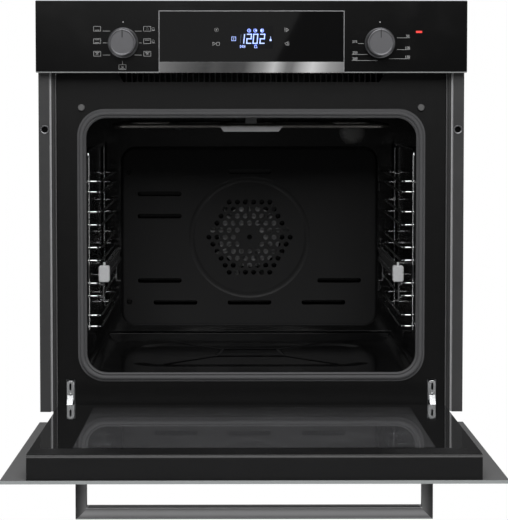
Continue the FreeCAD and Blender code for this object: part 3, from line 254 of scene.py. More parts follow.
def set_stops(ramp, stops):
    """Gives a colour ramp its stops, each a place and a grey or a colour."""
    while len(ramp.elements) < len(stops):
        ramp.elements.new(1.0)
    for element, (place, tone) in zip(ramp.elements, stops):
        element.position = place
        element.color = (*tone, 1.0) if isinstance(tone, tuple) else (tone, tone, tone, 1.0)


class Link:
    """One output in a shader tree, on which Python's operators add Math nodes."""

    def __init__(self, finish, socket):
        self.finish = finish
        self.socket = socket

    def maths(self, operation, *values):
        settings = {"operation": operation}
        return self.finish.add("ShaderNodeMath", settings, dict(enumerate(values)))

    def __add__(self, other):
        return self.maths("ADD", self, other)

    __radd__ = __add__

    def __sub__(self, other):
        return self.maths("SUBTRACT", self, other)

    def __rsub__(self, other):
        return self.maths("SUBTRACT", other, self)

    def __mul__(self, other):
        return self.maths("MULTIPLY", self, other)

    __rmul__ = __mul__

    def __truediv__(self, other):
        return self.maths("DIVIDE", self, other)

    def __rtruediv__(self, other):
        return self.maths("DIVIDE", other, self)

    def __pow__(self, other):
        return self.maths("POWER", self, other)

    def __abs__(self):
        return self.maths("ABSOLUTE", self)

    def least(self, other):
        return self.maths("MINIMUM", self, other)

    def most(self, other):
        return self.maths("MAXIMUM", self, other)

    def rise(self, low, high):
        """0 below low, 1 above high, smooth between; high may be the smaller one."""
        settings = {"interpolation_type": "SMOOTHSTEP"}
        return self.finish.add("ShaderNodeMapRange", settings, {0: self, 1: low, 2: high})


class Finish:
    """A material whose nodes come from one method."""

    def __init__(self, name):
        self.material = bpy.data.materials.new(name)
        self.material.use_nodes = True
        self.tree = self.material.node_tree
        self.tree.nodes.clear()
        self.place = self.add("ShaderNodeTexCoord", {}, {}, "Object")
        split = add_node(self.tree, "ShaderNodeSeparateXYZ", {}, {0: self.place})
        self.x, self.y, self.z = [Link(self, socket) for socket in split.outputs]

    def facing(self, axis):
        """1 where the surface faces along an axis of the object, 0 or 1 or 2, in either direction."""
        normal = self.add("ShaderNodeTexCoord", {}, {}, "Normal")
        split = add_node(self.tree, "ShaderNodeSeparateXYZ", {}, {0: normal})
        return abs(Link(self, split.outputs[axis])).rise(0.6, 0.8)

    def add(self, kind, settings, sockets, output=0):
        node = add_node(self.tree, kind, settings, sockets)
        return Link(self, node.outputs[output])

    def stretched(self, scale):
        """Object coordinates scaled along each axis."""
        return self.add("ShaderNodeMapping", {"vector_type": "POINT"}, {0: self.place, 3: scale})

    def scratches(self, along):
        """Fine lines along one direction, which is given as a stretch for each axis."""
        return self.noise(1.0, 3.0, 0.6, self.stretched(along))

    def patchy(self, middle, scale, spread):
        """A value that drifts about its middle."""
        return self.noise(scale, 2.0) * spread + (middle - spread / 2.0)

    def noise(self, scale, detail=2.0, rough=0.5, vector=None):
        sockets = {"Vector": vector or self.place, "Scale": scale, "Detail": detail, "Roughness": rough}
        return self.add("ShaderNodeTexNoise", {}, sockets)

    def cells(self, scale, vector=None, output="Distance"):
        return self.add("ShaderNodeTexVoronoi", {}, {"Vector": vector or self.place, "Scale": scale}, output)

    def blend(self, factor, low, high):
        """A colour between two others."""
        settings = {"data_type": "RGBA", "clamp_factor": True}
        low, high = [(*c, 1.0) if isinstance(c, tuple) and len(c) == 3 else c for c in (low, high)]
        return self.add("ShaderNodeMix", settings, {0: factor, 6: low, 7: high}, 2)

    def bump(self, height, distance, strength=1.0, under=None):
        sockets = {"Height": height, "Distance": distance, "Strength": strength}
        if under:
            sockets["Normal"] = under
        return self.add("ShaderNodeBump", {}, sockets)

    def shade(self, sockets):
        """A Principled surface."""
        return self.add("ShaderNodeBsdfPrincipled", {}, sockets)

    def done(self, surface):
        """Ends the tree in its output."""
        add_node(self.tree, "ShaderNodeOutputMaterial", {}, {"Surface": surface})
        return self.material


def tuned(tone, factor):
    """A colour made lighter or darker."""
    return tuple(min(1.0, channel * factor) for channel in tone)


# --------------------------------------------------------------------------------------------------------
# Finishes
# --------------------------------------------------------------------------------------------------------
def flecked(f, tone, flecks, scale):
    """Cloudy tone of fired enamel, with tiny pale flecks."""
    speck = f.cells(scale).rise(0.16, 0.05) * f.noise(220.0, 1.0).rise(0.5, 0.75)
    cloudy = f.blend(f.noise(7.0, 3.0), tuned(tone, 0.82), tuned(tone, 1.2))
    return f.blend(speck * flecks, cloudy, FLECK)


def frame_coat(name, tone):
    """Satin enamel of the frame: flecks, orange peel and a slight sag of the sheet below it."""
    f = Finish(name)
    sag = f.bump(f.noise(9.0, 2.0), 0.00005)
    return f.done(f.shade({
        "Base Color": flecked(f, tone, 0.12, 1.0 / (0.9 * MM)),
        "Roughness": f.patchy(0.36, 90.0, 0.1),
        "Normal": f.bump(f.noise(420.0, 2.0), 0.00002, 1.0, sag),
        "Specular IOR Level": 0.28,
    }))


def radius_of(across, up):
    """Distance from a centre, given the distances along two axes."""
    return (across * across + up * up) ** 0.5


def from_outline(across, along, half_across, half_along, corner):
    """Distance outside a rectangle with rounded corners, negative inside it."""
    out_across = abs(across) - (half_across - corner)
    out_along = abs(along) - (half_along - corner)
    outside = radius_of(out_across.most(0.0), out_along.most(0.0))
    return outside + out_across.most(out_along).least(0.0) - corner


def cavity_coat(name, tone):
    """Gloss enamel of the cavity, with a shallow dish pressed in its floor."""
    f = Finish(name)
    dish_middle = 195.0 * MM
    outline = from_outline(f.x, f.y - dish_middle, 170.0 * MM, 130.0 * MM, 45.0 * MM)
    on_floor = f.z.rise(84.0 * MM, 80.0 * MM)
    dish = outline.rise(-20.0 * MM, 6.0 * MM) * on_floor
    peel = f.bump(f.noise(420.0, 2.0), 0.00004)
    return f.done(f.shade({
        "Base Color": flecked(f, tone, 0.3, 620.0),
        "Roughness": f.patchy(0.13, 90.0, 0.1),
        "Specular IOR Level": 0.6,
        "Normal": f.bump(dish, 5.0 * MM, 1.0, peel),
    }))


def cover_coat(name, tone, roughness):
    """Satin enamel with a painted highlight: a pale line along the fan cover's rolled edge."""
    f = Finish(name)
    low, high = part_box("fan_cover")
    middle = (low.z + high.z) / 2.0
    inside = from_outline(f.x, f.z - middle, high.x, high.z - middle, 26.0 * MM)
    # Painted highlight: a pale line just inside the cover's outline, standing in for light caught by its
    # rolled edge.
    line = inside.rise(-3.6 * MM, -2.2 * MM)
    base = f.blend(f.noise(7.0, 3.0), tuned(tone, 0.9), tuned(tone, 1.15))
    return f.done(f.shade({
        "Base Color": f.blend(line * 0.9, base, (0.09, 0.09, 0.092)),
        "Roughness": f.patchy(roughness, 90.0, 0.1),
        "Normal": f.bump(f.noise(420.0, 2.0), 0.00003),
        "Specular IOR Level": 0.28,
    }))


def coated(name, tone, roughness):
    """Powder coat or satin paint, finely pebbled."""
    f = Finish(name)
    return f.done(f.shade({
        "Base Color": f.blend(f.noise(11.0, 4.0), tuned(tone, 0.85), tuned(tone, 1.18)),
        "Roughness": f.patchy(roughness, 160.0, 0.12),
        "Normal": f.bump(f.noise(2500.0, 1.0), 0.00003),
    }))


def moulded(name, tone, roughness):
    """Moulded plastic or rubber with a spark-eroded grain."""
    f = Finish(name)
    cloud = f.noise(14.0, 3.0)
    grain = f.cells(1900.0)
    return f.done(f.shade({
        "Base Color": f.blend(cloud, tuned(tone, 0.86), tuned(tone, 1.14)),
        "Roughness": f.patchy(roughness, 240.0, 0.14),
        "Normal": f.bump(grain, 0.00002, 0.6),
    }))


def drawn_metal(name, tone, roughness, along, tint=None):
    """Metal with fine scratches along one direction, which is given as a stretch for each axis."""
    f = Finish(name)
    lines = f.scratches(along)
    stain = f.noise(9.0, 3.0)
    dark = f.blend(lines, tuned(tone, 0.8), tuned(tone, 1.12))
    return f.done(f.shade({
        "Base Color": f.blend(stain.rise(0.45, 0.8) * 0.6, dark, tint or tuned(tone, 0.9)),
        "Metallic": 1.0,
        "Roughness": lines * 0.16 + (roughness - 0.08),
        "Normal": f.bump(lines, 0.000012),
    }))


def zinc_sheet(name, tone):
    """Hot-dip zinc: leaf-like spangle, drawn marks and dull patches."""
    f = Finish(name)
    bent = f.add("ShaderNodeVectorMath", {"operation": "MULTIPLY_ADD"},
                 {0: f.add("ShaderNodeTexNoise", {}, {"Vector": f.place, "Scale": 60.0}, "Color"),
                  1: (0.012, 0.012, 0.012), 2: f.place})
    leaf = f.cells(70.0, bent, "Color")
    shade = f.add("ShaderNodeSeparateColor", {}, {0: leaf})
    marks = f.scratches((900.0, 900.0, 18.0))
    dull = f.noise(5.0, 4.0)
    base = f.blend(shade, tuned(tone, 0.74), tuned(tone, 1.16))
    base = f.blend(dull.rise(0.5, 0.8) * 0.5, base, tuned(tone, 0.72))
    return f.done(f.shade({
        "Base Color": base,
        "Metallic": 0.9,
        "Roughness": shade * 0.16 + marks * 0.1 + 0.28,
        "Normal": f.bump(marks, 0.00001, 0.5, f.bump(shade, 0.00002, 0.4)),
    }))


def printed_glass(name, tone, roughness, coat, node=None, lying=False):
    """Toughened glass with a dark print behind it and pale ground edges. A lying pane has a grey back."""
    f = Finish(name)
    cloud = f.noise(4.0, 2.0)
    base = f.blend(cloud, tuned(tone, 0.9), tuned(tone, 1.12))
    if lying:
        base = f.blend(f.facing(2), base, (0.26, 0.26, 0.263))
        base = f.blend(f.facing(0).most(f.facing(1)), base, (0.40, 0.42, 0.42))
    if node:
        low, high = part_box(node)
        under = f.z.rise(low.z + 1.7 * MM, low.z + 1.3 * MM)
        over = f.z.rise(high.z - 1.0 * MM, high.z - 0.6 * MM)
        base = f.blend(under.most(over), base, (0.34, 0.35, 0.35))
    smear = f.noise(16.0, 4.0, 0.6).rise(0.45, 0.75)
    ripple = f.noise(26.0, 1.0)
    return f.done(f.shade({
        "Base Color": base,
        "Roughness": smear * 0.05 + roughness,
        "Specular IOR Level": 0.4,
        "Normal": f.bump(ripple, 0.00001, 0.35),
        "Coat Weight": coat,
        "Coat Roughness": 0.03,
    }))


def clear_pane(name):
    """Clear float glass with a faint green body and light smears."""
    f = Finish(name)
    smear = f.noise(12.0, 4.0, 0.6).rise(0.5, 0.8)
    return f.done(f.shade({
        "Base Color": f.blend(smear, (0.80, 0.84, 0.83), (0.72, 0.75, 0.75)),
        "Transmission Weight": 1.0,
        "IOR": 1.5,
        "Roughness": smear * 0.03,
    }))


def inner_pane(name):
    """The door's inner glass: a clear, slightly hazy window inside a black fired border; the haze is painted
    lighter towards the near end as a painted reflection.
    """
    f = Finish(name)
    low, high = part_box("door_inner_glass")
    soft = 0.6 * MM
    side = high.x - 50.0 * MM
    near = low.y + 5.0 * MM
    back = high.y - 24.0 * MM
    ends = f.y.rise(near + soft, near - soft).most(f.y.rise(back - soft, back + soft))
    border = abs(f.x).rise(side - soft, side + soft).most(ends)
    smear = f.noise(15.0, 4.0, 0.6).rise(0.5, 0.85)
    clear = f.shade({
        "Base Color": (0.72, 0.74, 0.74, 1.0),
        "Transmission Weight": 1.0,
        "IOR": 1.52,
        "Roughness": smear * 0.02,
    })
    haze = f.shade({
        "Base Color": f.blend(smear, (0.20, 0.20, 0.21), (0.26, 0.26, 0.27)),
        "Roughness": smear * 0.1 + 0.1,
    })
    # Real haze, plus a painted reflection: the haze grows lighter towards the door's near end.
    haze_and_painted_reflection = smear * 0.05 + f.y.rise(-0.06, -0.26) * 0.27 + 0.05
    window = f.add("ShaderNodeMixShader", {}, {0: haze_and_painted_reflection, 1: clear, 2: haze})
    ink = f.blend(f.noise(5.0, 2.0), (0.004, 0.004, 0.0042), (0.007, 0.007, 0.0075))
    black = f.shade({
        "Base Color": f.blend(f.facing(0).most(f.facing(1)), ink, (0.34, 0.37, 0.36)),
        "IOR": 1.52,
        "Roughness": smear * 0.04 + 0.04,
    })
    return f.done(f.add("ShaderNodeMixShader", {}, {0: border, 1: window, 2: black}))


def knob_metal(name, tone):
    """Turned metal: two fans of painted highlight on the face, a pale ring near its edge and a pale flange.
    """
    f = Finish(name)
    across = abs(f.x) - KNOB_X
    up = f.z - KNOB_Z
    reach = radius_of(across, up)
    scratch = f.noise(2600.0, 2.0)
    front = f.y.rise(-66.8 * MM, -67.3 * MM)
    turn = up.maths("ARCTAN2", up, across)
    # Painted highlight: two fans of sheen round the face, drawn lighter at some angles of the turn than at
    # others.
    painted_fans = abs(f.add("ShaderNodeMath", {"operation": "SINE"}, {0: turn * 2.0 + 0.6})) ** 3.0
    ring = reach.rise(16.6 * MM, 17.0 * MM) * reach.rise(18.3 * MM, 17.9 * MM) * front
    rim = reach.rise(19.6 * MM, 20.0 * MM)
    base = f.blend(scratch, tuned(tone, 0.8), tuned(tone, 1.15))
    base = f.blend(painted_fans * front * 0.8, base, tuned(tone, 3.0))
    base = f.blend(ring.most(rim) * 0.7, base, (0.10, 0.10, 0.105))
    side = f.scratches((60.0, 2400.0, 60.0))
    return f.done(f.shade({
        "Base Color": base,
        "Metallic": 0.5,
        "Roughness": scratch * 0.1 + 0.3,
        "Specular IOR Level": 0.2,
        "Normal": f.bump(side * (1 - front), 0.00001),
    }))


def band_metal(name):
    """Polished strip with a painted reflection: its tone runs pale, grey and pale again along its length, in
    slanted bands.
    """
    f = Finish(name)
    run = f.x / (2.0 * STRIP_HALF) + 0.5
    # Painted reflection: pale and grey bands, slanted across the strip like lights seen in it.
    painted_reflection_slant = run - (f.z - PANEL_LOW) * 0.9 + 0.007
    tone = f.add("ShaderNodeValToRGB", {"stops": [
        (0.0, 0.21), (0.13, 0.10), (0.25, 0.04), (0.30, 0.07), (0.36, 0.04), (0.46, 0.06), (0.56, 0.36),
        (0.62, 0.74), (0.69, 0.22), (0.72, 0.20), (0.79, 0.66), (0.83, 0.88), (0.92, 0.42), (1.0, 0.24)]},
        {0: painted_reflection_slant})
    lines = f.scratches((12.0, 2600.0, 2600.0))
    return f.done(f.shade({
        "Base Color": f.blend(lines * 0.15, tone, (0.3, 0.3, 0.31)),
        "Metallic": 0.1,
        "Roughness": lines * 0.12 + 0.24,
        "Normal": f.bump(lines, 0.00001),
    }))


def bush_metal(name):
    """Nickel-plated screw bush with a shadowed bore."""
    f = Finish(name)
    bore = radius_of(abs(f.x) - BUSH_X, f.z - BUSH_Z).rise(4.6 * MM, 4.2 * MM)
    stain = f.noise(600.0, 2.0)
    nickel = f.blend(stain, (0.22, 0.22, 0.23), (0.34, 0.34, 0.35))
    return f.done(f.shade({
        "Base Color": f.blend(bore, nickel, (0.01, 0.01, 0.01)),
        "Metallic": 1.0,
        "Roughness": stain * 0.1 + 0.3,
    }))


def wheel_metal(name):
    """Bright blades and disc round a dark, heat-stained hub."""
    f = Finish(name)
    hub = radius_of(f.x, f.z - FAN_Z).rise(10.0 * MM, 8.5 * MM)
    stain = f.noise(90.0, 3.0)
    base = f.blend(stain, (0.34, 0.34, 0.35), (0.62, 0.62, 0.63))
    return f.done(f.shade({
        "Base Color": f.blend(hub, base, (0.012, 0.012, 0.012)),
        "Metallic": 1.0,
        "Roughness": stain * 0.12 + 0.3,
    }))


def handle_metal(name, tone):
    """Brushed bow: a painted highlight along the middle of the bar and down the inner side of each post, with
    painted shade elsewhere.
    """
    f = Finish(name)
    low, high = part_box("door_handle")
    lines = f.scratches(LENGTHWISE)
    bar = 16.0 * MM
    along = f.z - low.z
    aside = high.x - abs(f.x)
    on_bar = (aside - along).rise(-0.3 * MM, 0.3 * MM)
    # Painted highlight along the bar's middle and the posts' inner sides; where it fades, the colour is
    # painted darker as shade.
    painted_bar_highlight = abs(along - bar / 2.0).rise(8.5 * MM, 0.5 * MM)
    painted_post_highlight = aside.rise(0.0, bar)
    light = painted_bar_highlight * on_bar + painted_post_highlight * 0.6 * (1.0 - on_bar)
    return f.done(f.shade({
        "Base Color": f.blend(light + lines * 0.1 - 0.05, tuned(tone, 0.2), tuned(tone, 1.5)),
        "Metallic": 0.6,
        "Roughness": lines * 0.14 + 0.3,
        "Normal": f.bump(lines, 0.00001),
    }))


def trim_coat(name, tone):
    """Dark powder coat with a painted highlight along each step."""
    f = Finish(name)
    base = f.blend(f.noise(11.0, 4.0), tuned(tone, 0.85), tuned(tone, 1.18))
    # Painted highlight: a pale line along each step, where light would catch it.
    for bead in (272.2 * MM, 279.8 * MM):
        off = abs(abs(f.x) - bead)
        base = f.blend(off.rise(1.5 * MM, 0.9 * MM), base, (0.60, 0.60, 0.61))
    pebble = f.noise(2400.0, 1.0)
    return f.done(f.shade({
        "Base Color": base,
        "Metallic": 0.3,
        "Roughness": f.patchy(0.34, 160.0, 0.12),
        "Normal": f.bump(pebble, 0.00002),
    }))


def glass_wool(name):
    """Matted yellow fibres."""
    f = Finish(name)
    fibre = f.noise(1.0, 4.0, 0.7, f.stretched((160.0, 900.0, 160.0)))
    tuft = f.noise(40.0, 5.0, 0.7)
    return f.done(f.shade({
        "Base Color": f.blend(tuft * 0.6 + fibre * 0.4, (0.42, 0.31, 0.12), (0.82, 0.70, 0.40)),
        "Roughness": fibre * 0.2 + 0.75,
        "Normal": f.bump(fibre, 0.0006, 0.8, f.bump(tuft, 0.002, 0.8)),
    }))


def lens_glass(name):
    """Pressed lamp glass, slightly milky between its ribs."""
    f = Finish(name)
    bubble = f.cells(700.0).rise(0.1, 0.02)
    clear = f.shade({
        "Base Color": f.blend(bubble, (0.93, 0.95, 0.95), (0.8, 0.82, 0.82)),
        "Transmission Weight": 1.0,
        "IOR": 1.5,
        "Roughness": f.patchy(0.07, 300.0, 0.1),
        "Normal": f.bump(f.noise(180.0, 2.0), 0.0002, 0.5),
    })
    return f.done(clear)


def screen_glass(name):
    """Black liquid-crystal window with a faint blue bloom round the clock."""
    f = Finish(name)
    low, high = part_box("display_window")
    middle_z = (low.z + high.z) / 2.0
    spread = (f.x * f.x + (f.z - middle_z) * (f.z - middle_z) * 3.0) ** 0.5
    bloom = spread.rise(0.034, 0.004)
    lattice = f.cells(2600.0).rise(0.2, 0.5)
    return f.done(f.shade({
        "Base Color": f.blend(lattice, (0.0015, 0.0015, 0.002), (0.003, 0.003, 0.004)),
        "Roughness": f.patchy(0.105, 40.0, 0.05),
        "Emission Color": f.blend(bloom, (0.0, 0.0, 0.0), (0.001, 0.0015, 0.003)),
        "Emission Strength": 1.0,
    }))


def lit_print(name, tone, strength):
    """Even print or lit segments with a slightly uneven edge."""
    f = Finish(name)
    cloud = f.noise(900.0, 2.0)
    sockets = {
        "Base Color": f.blend(cloud, tuned(tone, 0.9), tuned(tone, 1.05)),
        "Roughness": cloud * 0.1 + 0.4,
    }
    if strength:
        sockets["Emission Color"] = f.blend(cloud, tuned(tone, 0.92), tone)
        sockets["Emission Strength"] = strength
    return f.done(f.shade(sockets))


def circuit_board(name):
    """Green lacquered board with copper tracks."""
    f = Finish(name)
    flat = f.add("ShaderNodeCombineXYZ", {}, {0: f.x, 1: f.z})
    tracks = f.add("ShaderNodeTexBrick", {"offset": 0.5},
                   {"Vector": flat, "Scale": 160.0, "Mortar Size": 0.02}, "Fac")
    return f.done(f.shade({
        "Base Color": f.blend(tracks, (0.01, 0.11, 0.04), (0.05, 0.24, 0.09)),
        "Roughness": f.patchy(0.35, 120.0, 0.1),
        "Normal": f.bump(tracks, 0.00004),
    }))


def make_finishes(tones):
    """Every finish by the name of its slot."""
    t = {key: tuple(getattr(tones, key)) for key in OvenFinishes.__annotations__}
    return {
        "casing_zinc": zinc_sheet("casing_zinc", t["zinc"]),
        "frame_enamel": frame_coat("frame_enamel", t["frame"]),
        "trim_paint": trim_coat("trim_paint", t["trim"]),
        "cavity_enamel": cavity_coat("cavity_enamel", t["cavity"]),
        "cover_enamel": cover_coat("cover_enamel", t["cover"], 0.40),
        "chrome_wire": drawn_metal("chrome_wire", (0.80, 0.81, 0.82), 0.14, (300.0, 60.0, 300.0)),
        "rail_steel": drawn_metal("rail_steel", (0.76, 0.76, 0.77), 0.24, DEPTHWISE),
        "hinge_steel": drawn_metal("hinge_steel", (0.68, 0.69, 0.70), 0.26, UPWARD),
        "heater_steel": drawn_metal("heater_steel", (0.20, 0.19, 0.18), 0.34, (300.0, 300.0, 300.0),
                                    (0.13, 0.10, 0.10)),
        "motor_steel": drawn_metal("motor_steel", (0.45, 0.46, 0.47), 0.34, DEPTHWISE),
        "fan_aluminium": drawn_metal("fan_aluminium", (0.55, 0.56, 0.57), 0.34, (900.0, 900.0, 900.0)),
        "handle_metal": handle_metal("handle_metal", t["handle"]),
        "knob_metal": knob_metal("knob_metal", t["knob"]),
        "band_metal": band_metal("band_metal"),
        "seal_rubber": moulded("seal_rubber", (0.020, 0.020, 0.0205), 0.5),
        "stop_rubber": moulded("stop_rubber", (0.15, 0.15, 0.15), 0.6),
        "door_pane": printed_glass("door_pane", t["door"], 0.12, 0.0, lying=True),
        "panel_glass": printed_glass("panel_glass", t["fascia"], 0.18, 0.0, "control_fascia"),
        "display_pane": printed_glass("display_pane", tuned(t["fascia"], 2.2), 0.03, 0.1),
        "trim_metal": drawn_metal("trim_metal", (0.40, 0.40, 0.41), 0.34, LENGTHWISE),
        "dark_screw": drawn_metal("dark_screw", (0.02, 0.02, 0.02), 0.35, (900.0, 900.0, 900.0)),
        "bracket_steel": drawn_metal("bracket_steel", (0.42, 0.42, 0.43), 0.4, LENGTHWISE),
        "bush_metal": bush_metal("bush_metal"),
        "wheel_metal": wheel_metal("wheel_metal"),
        "dark_steel": drawn_metal("dark_steel", (0.05, 0.05, 0.052), 0.4, DEPTHWISE),
        "clear_glass": clear_pane("clear_glass"),
        "lamp_glass": lens_glass("lamp_glass"),
        "screen": screen_glass("screen"),
        "door_black": coated("door_black", (0.012, 0.012, 0.013), 0.4),
        "door_cap": moulded("door_cap", (0.010, 0.010, 0.0105), 0.34),
        "louvre_black": moulded("louvre_black", (0.004, 0.004, 0.004), 0.5),
        "cap_plastic": moulded("cap_plastic", (0.70, 0.71, 0.72), 0.35),
        "lamp_red": lit_print("lamp_red", (0.85, 0.05, 0.04), 0.7),
        "board_green": circuit_board("board_green"),
        "ceramic_white": moulded("ceramic_white", (0.78, 0.76, 0.72), 0.35),
        "glass_wool": glass_wool("glass_wool"),
        "control_plastic": moulded("control_plastic", (0.10, 0.10, 0.105), 0.45),
        "print_white": lit_print("print_white", t["print"], 0.0),
        "print_lit": lit_print("print_lit", t["digits"], 1.0),
        "print_dim": lit_print("print_dim", (0.06, 0.08, 0.14), 0.12),
        "pointer_black": moulded("pointer_black", (0.004, 0.004, 0.004), 0.5),
        "inner_pane": inner_pane("inner_pane"),
    }


# --------------------------------------------------------------------------------------------------------
# Making pieces
# --------------------------------------------------------------------------------------------------------
def place(name, mesh, body, slot, stands_for=(), finish=None):
    """A finished mesh as a piece on its body."""
    piece = bpy.data.objects.new(name, mesh)
    bpy.context.scene.collection.objects.link(piece)
    mesh.materials.clear()
    mesh.materials.append(bpy.data.materials[finish or slot])
    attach(piece, body)
    if stands_for:
        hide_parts(*stands_for)
    return piece


def mesh_from(work, name, smooth_below=math.radians(40.0)):
    """Ends a bmesh as a mesh with outward faces, smooth except over sharp edges."""
    bmesh.ops.remove_doubles(work, verts=work.verts, dist=1e-7)
    bmesh.ops.recalc_face_normals(work, faces=work.faces)
    for face in work.faces:
        face.smooth = True
    for edge in work.edges:
        if len(edge.link_faces) == 2 and edge.calc_face_angle(0.0) > smooth_below:
            edge.smooth = False
    mesh = bpy.data.meshes.new(name)
    work.to_mesh(mesh)
    work.free()
    return mesh


def bridged(work, rings, closed):
    """Faces between successive rings of points; closed joins the last ring to the first."""
    loops = [[work.verts.new(point) for point in ring] for ring in rings]
    pairs = list(zip(loops, loops[1:])) + ([(loops[-1], loops[0])] if closed else [])
    for first, second in pairs:
        count = len(first)
        for i in range(count):
            k = (i + 1) % count
            work.faces.new((first[i], first[k], second[k], second[i]))
    return loops


def closed_tube(work, rings):
    """Two rings of points joined by faces, with both ends filled."""
    for ring in bridged(work, rings, False):
        work.faces.new(ring)


def turned(work, profile, centre, steps, wobble=None):
    """A shape spun about the line through centre along Y. The profile is (radius, y) and ends on the axis."""
    rings = []
    for radius, y in profile:
        ring = []
        for i in range(steps):
            angle = 2.0 * math.pi * i / steps
            r = radius * (wobble(angle, y) if wobble else 1.0)
            ring.append((centre.x + r * math.cos(angle), y, centre.z + r * math.sin(angle)))
        rings.append(ring)
    bridged(work, rings, False)


class Growth:
    """A Geometry Nodes tree with named inputs that ends in Realize Instances and Set Material."""

    def __init__(self, name, inputs):
        self.tree = bpy.data.node_groups.new(name, "GeometryNodeTree")
        interface = self.tree.interface
        interface.new_socket("Geometry", in_out="INPUT", socket_type="NodeSocketGeometry")
        for label, kind in inputs.items():
            interface.new_socket(label, in_out="INPUT", socket_type="NodeSocket" + kind)
        interface.new_socket("Finish", in_out="INPUT", socket_type="NodeSocketMaterial")
        interface.new_socket("Geometry", in_out="OUTPUT", socket_type="NodeSocketGeometry")
        self.inputs = self.tree.nodes.new("NodeGroupInput").outputs

    def add(self, kind, settings, sockets, output=0):
        return add_node(self.tree, kind, settings, sockets).outputs[output]

    def ends(self, geometry):
        real = self.add("GeometryNodeRealizeInstances", {}, {0: geometry})
        dressed = self.add("GeometryNodeSetMaterial", {},
                           {"Geometry": real, "Material": self.inputs["Finish"]})
        add_node(self.tree, "NodeGroupOutput", {}, {0: dressed})

    def grow(self, name, mesh, values):
        """Runs the tree on a mesh and returns the plain mesh that comes out."""
        seed = bpy.data.objects.new(name + "_seed", mesh)
        bpy.context.scene.collection.objects.link(seed)
        modifier = seed.modifiers.new("growth", "NODES")
        modifier.node_group = self.tree
        for item in self.tree.interface.items_tree:
            if item.in_out == "INPUT" and item.name in values:
                modifier[item.identifier] = values[item.name]
        graph = bpy.context.evaluated_depsgraph_get()
        result = bpy.data.meshes.new_from_object(seed.evaluated_get(graph))
        result.name = name
        seed.modifiers.remove(modifier)
        bpy.data.objects.remove(seed)
        return result


def wire_growth():
    """Round wire along the edges of a mesh, with filleted corners and closed ends."""
    g = Growth("wire_along_path", {"Radius": "Float", "Bend": "Float", "Sides": "Int"})
    path = g.add("GeometryNodeMeshToCurve", {}, {0: g.inputs["Geometry"]})
    bent = g.add("GeometryNodeFilletCurve", {"mode": "POLY"},
                 {"Curve": path, "Count": 8, "Radius": g.inputs["Bend"], "Limit Radius": True})
    ring = g.add("GeometryNodeCurvePrimitiveCircle", {"mode": "RADIUS"},
                 {"Resolution": g.inputs["Sides"], "Radius": g.inputs["Radius"]})
    tube = g.add("GeometryNodeCurveToMesh", {}, {"Curve": bent, "Profile Curve": ring, "Fill Caps": True})
    round_off = g.add("GeometryNodeSetShadeSmooth", {}, {"Geometry": tube, "Shade Smooth": True})
    g.ends(round_off)
    return g


def bead_growth():
    """A low bead at each point, such as a weld."""
    g = Growth("beads_on_points", {"Radius": "Float"})
    bead = g.add("GeometryNodeMeshIcoSphere", {}, {"Radius": g.inputs["Radius"], "Subdivisions": 2})
    bead = g.add("GeometryNodeSetShadeSmooth", {}, {"Geometry": bead, "Shade Smooth": True})
    dots = g.add("GeometryNodeMeshToPoints", {}, {0: g.inputs["Geometry"]})
    g.ends(g.add("GeometryNodeInstanceOnPoints", {}, {"Points": dots, "Instance": bead}))
    return g


def screw_growth():
    """A pan-head screw with a flange and a cross recess at each point, turned to the point's aim."""
    g = Growth("screws_on_points", {"Radius": "Float", "Height": "Float"})
    radius, height = g.inputs["Radius"], g.inputs["Height"]

    def product(value, factor):
        return g.add("ShaderNodeMath", {"operation": "MULTIPLY"}, {0: value, 1: factor})

    flange = g.add("GeometryNodeMeshCylinder", {}, {"Vertices": 20, "Radius": radius,
                                                    "Depth": product(height, 0.5)})
    head = g.add("GeometryNodeMeshCone", {}, {"Vertices": 20, "Radius Top": product(radius, 0.52),
                                              "Radius Bottom": product(radius, 0.74), "Depth": height})
    arm = product(radius, 0.95)
    slim = product(radius, 0.2)
    bars = []
    for wide, narrow in ((arm, slim), (slim, arm)):
        size = g.add("ShaderNodeCombineXYZ", {}, {0: wide, 1: narrow, 2: height})
        bar = g.add("GeometryNodeMeshCube", {}, {"Size": size})
        lift = g.add("ShaderNodeCombineXYZ", {}, {2: product(height, 1.05)})
        bars.append(g.add("GeometryNodeTransform", {}, {"Geometry": bar, "Translation": lift}))
    cross = g.tree.nodes.new("GeometryNodeJoinGeometry")
    for bar in bars:
        g.tree.links.new(bar, cross.inputs[0])
    cut = add_node(g.tree, "GeometryNodeMeshBoolean", {"operation": "DIFFERENCE"}, {0: head})
    for bar in bars:
        g.tree.links.new(bar, cut.inputs[1])
    whole = g.tree.nodes.new("GeometryNodeJoinGeometry")
    g.tree.links.new(flange, whole.inputs[0])
    g.tree.links.new(cut.outputs[0], whole.inputs[0])
    aim = g.add("GeometryNodeInputNamedAttribute", {"data_type": "FLOAT_VECTOR"}, {"Name": "aim"})
    turn = g.add("FunctionNodeAlignRotationToVector", {"axis": "Z"}, {"Vector": aim})
    dots = g.add("GeometryNodeMeshToPoints", {}, {0: g.inputs["Geometry"]})
    g.ends(g.add("GeometryNodeInstanceOnPoints", {}, {"Points": dots, "Instance": whole.outputs[0],
                                                      "Rotation": turn}))
    return g


def path_mesh(name, paths):
    """A mesh whose edges run along each path."""
    points = []
    edges = []
    for path in paths:
        first = len(points)
        points += path
        edges += [(first + i, first + i + 1) for i in range(len(path) - 1)]
    mesh = bpy.data.meshes.new(name)
    mesh.from_pydata(points, edges, [])
    return mesh


def point_mesh(name, points, aims=()):
    """A mesh of loose points, with the direction each faces."""
    mesh = bpy.data.meshes.new(name)
    mesh.from_pydata(points, [], [])
    if aims:
        aim = mesh.attributes.new("aim", "FLOAT_VECTOR", "POINT")
        for entry, direction in zip(aim.data, aims):
            entry.vector = direction
    return mesh


def joined(name, meshes):
    """One mesh from several."""
    work = bmesh.new()
    for mesh in meshes:
        work.from_mesh(mesh)
    mesh = bpy.data.meshes.new(name)
    work.to_mesh(mesh)
    work.free()
    return mesh


